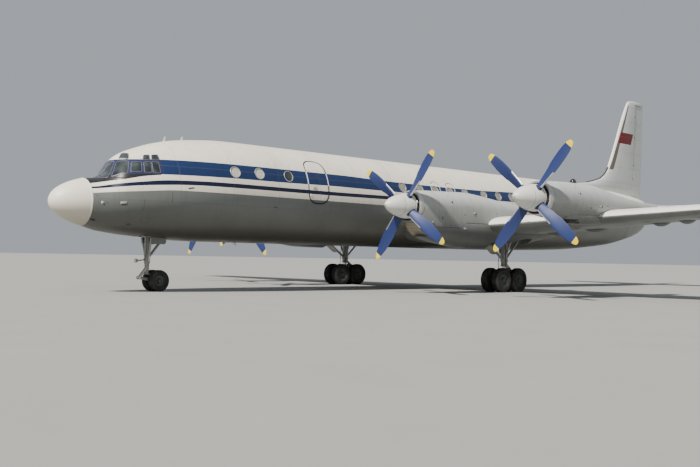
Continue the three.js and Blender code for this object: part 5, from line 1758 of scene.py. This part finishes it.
# A main leg is a forged steel cylinder with a chromed piston, hinged to the wing's box and braced by
# a folding strut ahead, one behind and two at the sides. Its beam carries the four wheels and brakes.
def capped_tube(start, end, radius, collar=0.0, material=0, sides=24):
    """A strut with a thicker collar near each end."""
    start = np.asarray(start, float)
    end = np.asarray(end, float)
    shares = [0, 0.02, 0.07, 0.08, 0.92, 0.93, 0.98, 1]
    wide = radius + collar
    widths = [wide * 0.9, wide, wide, radius, radius, wide, wide, wide * 0.9]
    return tube([start + (end - start) * share for share in shares], widths, sides, material)


def hose(points, radius=0.012):
    """A hose along a smooth curve through a few points."""
    points = np.asarray(points, float)
    table = np.c_[np.arange(len(points)), points]
    return tube(read_table(table, np.linspace(0, len(points) - 1, 8 * len(points))), radius, 8, 2)


def link_plate(start, end, wide, thick):
    """A flat forged link with rounded ends, from one pin to another."""
    start = np.asarray(start, float)
    end = np.asarray(end, float)
    run = np.linalg.norm(end - start)
    along = (end - start) / run
    side = np.array([1.0, 0, 0])
    up = np.cross(side, along)
    near, far = -wide, run + wide
    outline = rounded([[near, -wide], [far, -wide * 0.7], [far, wide * 0.7], [near, wide]], wide * 0.68)
    return grid([start + side * across + outline[:, :1] * along + outline[:, 1:] * up
                 for across in (-thick / 2, thick / 2)])


GEAR_MATERIALS = [gear_grey, chrome, black_rubber, bare_metal]
BAY_ROOF = 2.08
LINK_PINS = ((0.72, 0.1), (0.9, 0.33), (1.08, 0.1))
BEAM = np.array([
    # distance along the beam from its middle, half width
    [-0.5, 0.045], [-0.47, 0.062], [-0.38, 0.062], [-0.2, 0.058], [-0.12, 0.075],
    [0.12, 0.075], [0.2, 0.058], [0.38, 0.062], [0.47, 0.062], [0.5, 0.045],
])
for side in SIDES:
    x, y, z = MAIN_WHEEL[0], aft(MAIN_WHEEL[1]), MAIN_WHEEL[2]
    joint = np.array([x, y, 1.18])
    anchor = BAY_ROOF - 0.06
    levels = (0.985, 1.0, 1.05, 1.06, 1.15, 1.16, 1.24, 1.25, BAY_ROOF)
    widths = [0.12, 0.14, 0.14, 0.128, 0.128, 0.146, 0.146, 0.13, 0.134]
    parts = [
        tube([[x, y, 0.596], [x, y, 0.66], [x, y, 0.665]], [0.12, 0.12, 0.085], 32),
        tube([[x, y, 0.66], [x, y, 1.0]], 0.08, 32, 1),
        tube([[x, y, level] for level in levels], widths, 32),
        capped_tube(joint, [x, y - 1.25, anchor], 0.05, 0.014),
        capped_tube(joint, [x, y + 0.9, anchor], 0.042, 0.012),
        capped_tube([x - 0.44, y - 0.06, anchor], [x + 0.44, y - 0.06, anchor], 0.05, 0.012),
    ]
    cover_shape = slab(0.2, 0.0, 0.62, 0.08)
    slope = np.array([0, -1.25, BAY_ROOF - 1.24]) / math.hypot(1.25, BAY_ROOF - 1.24)
    foot = joint + 0.62 * slope + [0, -0.05, -0.06]
    across = np.c_[cover_shape[:, 0], 0 * cover_shape[:, 0], 0 * cover_shape[:, 0]]
    cover = foot + across + cover_shape[:, 1:] * slope
    parts.append(grid([cover + [0, -lift, -lift] for lift in (0, 0.016)]))
    for out in (-1, 1):
        parts.append(capped_tube(joint, [x + out * 0.38, y - 0.06, anchor], 0.036, 0.01))
        low, mid, top = [[x + out * 0.05, y + back, level] for level, back in LINK_PINS]
        parts += [link_plate(low, mid, 0.03, 0.022), link_plate(mid, top, 0.03, 0.022)]
    for level, back in LINK_PINS:
        parts.append(tube([[x - 0.07, y + back, level], [x + 0.07, y + back, level]], 0.016, 14, 3))
    for path in (
        [[0.1, -0.1, 1.9], [0.16, -0.14, 1.4], [0.17, -0.15, 1.0], [0.1, -0.2, 0.7]],
        [[-0.1, -0.1, 1.9], [-0.15, -0.16, 1.3], [-0.17, -0.12, 0.9], [-0.09, 0.2, 0.66]],
    ):
        parts.append(hose(np.array(path) + [x, y, 0]))
    leg = piece("main_leg_assembly_" + side, sided(parts, side), GEAR_MATERIALS, "main_leg_" + side)
    outline = plate(1, 1, 0.35, 5)
    rows = [np.c_[x + outline[:, 0] * half, np.full(len(outline), y + share), z + outline[:, 1] * half]
            for share, half in BEAM]
    beam = [grid(rows)]
    for step in (-0.5, 0.5):
        eye = [(0.0625, -0.078), (0.098, -0.078), (0.108, -0.06),
               (0.108, 0.06), (0.098, 0.078), (0.0625, 0.078)]
        beam.append(turned_part(eye + eye[:1], x, y + step, z, 40, closed=False))
        for out in (-1, 1):
            rod = [[x + out * 0.11, y + step * 0.8, z + 0.11], [x + out * 0.11, y + step * 0.2, z + 0.11]]
            beam.append(tube(rod, 0.014, 10, 3))
    beam.append(tube([[x, y, z + 0.05], [x, y, z + 0.1], [x, y, z + 0.125]], [0.13, 0.125, 0.11], 32))
    beam.append(tube([[x - 0.115, y, z + 0.04], [x + 0.115, y, z + 0.04]], 0.05, 24, 3))
    bogie = piece("main_bogie_beam_" + side, sided(beam, side), GEAR_MATERIALS, "main_bogie_" + side)


# The nose leg folds forward. Two struts spread from its middle to the sides of its bay and one runs
# aft. Its lower end turns for steering and carries the wheels on a trailing arm with a shock strut.
y = aft(3.42)
levels = np.array([0.9, 0.93, 1.02, 1.03, 1.12, 1.13, 1.24, 1.25, 2.15])
widths = [0.088, 0.096, 0.096, 0.088, 0.088, 0.1, 0.1, 0.09, 0.092]
parts = [
    tube(np.c_[0 * levels, 0 * levels + y, levels], widths, 32),
    capped_tube([0, y, 1.04], [0, y + 0.5, 1.64], 0.044, 0.01),
    capped_tube([-0.14, y, 1.17], [0.14, y, 1.17], 0.034, 0.006),
    capped_tube([-0.29, y - 0.03, 1.8], [0.29, y - 0.03, 1.8], 0.044, 0.008),
    capped_tube([-0.29, y + 0.5, 1.64], [0.29, y + 0.5, 1.64], 0.04, 0.006),
    tube([[0, y - 0.09, 1.03], [0, y - 0.36, 1.0]], 0.022, 16),
    tube([[0, y - 0.34, 1.0], [0, y - 0.37, 1.0], [0, y - 0.43, 1.0]], [0.03, 0.06, 0.072], 28),
    tube([[0, y - 0.425, 1.0], [0, y - 0.434, 1.0]], 0.066, 28, 3),
    hose([[0.07, y - 0.06, 1.9], [0.12, y - 0.1, 1.5], [0.1, y - 0.1, 1.2], [0.02, y - 0.14, 1.04]], 0.009),
]
for out in (-1, 1):
    parts.append(capped_tube([out * 0.115, y, 1.17], [out * 0.285, y - 0.03, 1.74], 0.032, 0.006))
    parts.append(capped_tube([out * 0.115, y + 0.015, 1.0], [out * 0.115, y + 0.015, 1.34], 0.034, 0.006, 3))
leg = piece("nose_leg_assembly", parts, GEAR_MATERIALS, "nose_leg")
knee = np.array([0, y - 0.29, 0.45])
axle = np.array([0, aft(NOSE_WHEEL[1]), NOSE_WHEEL[2]])
middle = np.array([0, (y + axle[1]) / 2 - 0.03, 0.53])
ring = [(0.0625, -0.053), (0.09, -0.053), (0.093, -0.045), (0.093, 0.045), (0.09, 0.053), (0.0625, 0.053)]
levels = np.array([0.56, 0.6, 0.61, 0.8, 0.81, 0.8985])
fork = [
    tube(np.c_[0 * levels, 0 * levels + y, levels], [0.072, 0.078, 0.07, 0.07, 0.077, 0.077], 32),
    tube([[0, y, 0.78], knee + [0, 0.04, 0.05], knee], [0.058, 0.05, 0.048], 24, 3),
    tube([knee - [0.07, 0, 0], knee + [0.07, 0, 0]], 0.055, 28, 3),
    tube([knee - [0.08, 0, 0], knee + [0.08, 0, 0]], 0.02, 18, 1),
    tube([knee, knee + (axle - knee) * 0.86], [0.046, 0.056], 24),
    turned_part(ring + ring[:1], 0, axle[1], axle[2], 40, closed=False),
    tube([[0, y, 0.62], middle], 0.038, 24),
    tube([middle, [0, axle[1] - 0.06, 0.44]], 0.026, 20, 1),
]
fork_piece = piece("nose_fork_assembly", fork, GEAR_MATERIALS, "nose_fork", "nose_fork")


# The doors of the nose bay are two flat pressed panels with stiffeners inside. They hang open
# against the sides of the slot.
NOSE_DOOR = (3.39, 3.91, 1.545, 1.96)
front, back, low, head = NOSE_DOOR
outline = rounded([[aft(front), low], [aft(back), low], [aft(back), head], [aft(front), head]], 0.06)
for name, out in (("port", 1), ("starboard", -1)):
    face = NOSE_BAY[2] - 0.0003
    rows = []
    for x, shrink in ((face - 0.025, 0.994), (face - 0.023, 1), (face - 0.002, 1), (face, 0.994)):
        edge = outline.mean(axis=0) + (outline - outline.mean(axis=0)) * shrink
        rows.append(np.c_[np.full(len(edge), out * x), edge])
    parts = [grid(rows)]
    for station in (3.47, 3.65, 3.83):
        ends = [[out * (face - 0.03), aft(station), z] for z in (low + 0.05, head - 0.03)]
        parts.append(tube(ends, 0.009, 8))
    door = piece("nose_bay_door_panel_" + name, parts, [wing_lower], "nose_bay_door_" + name)
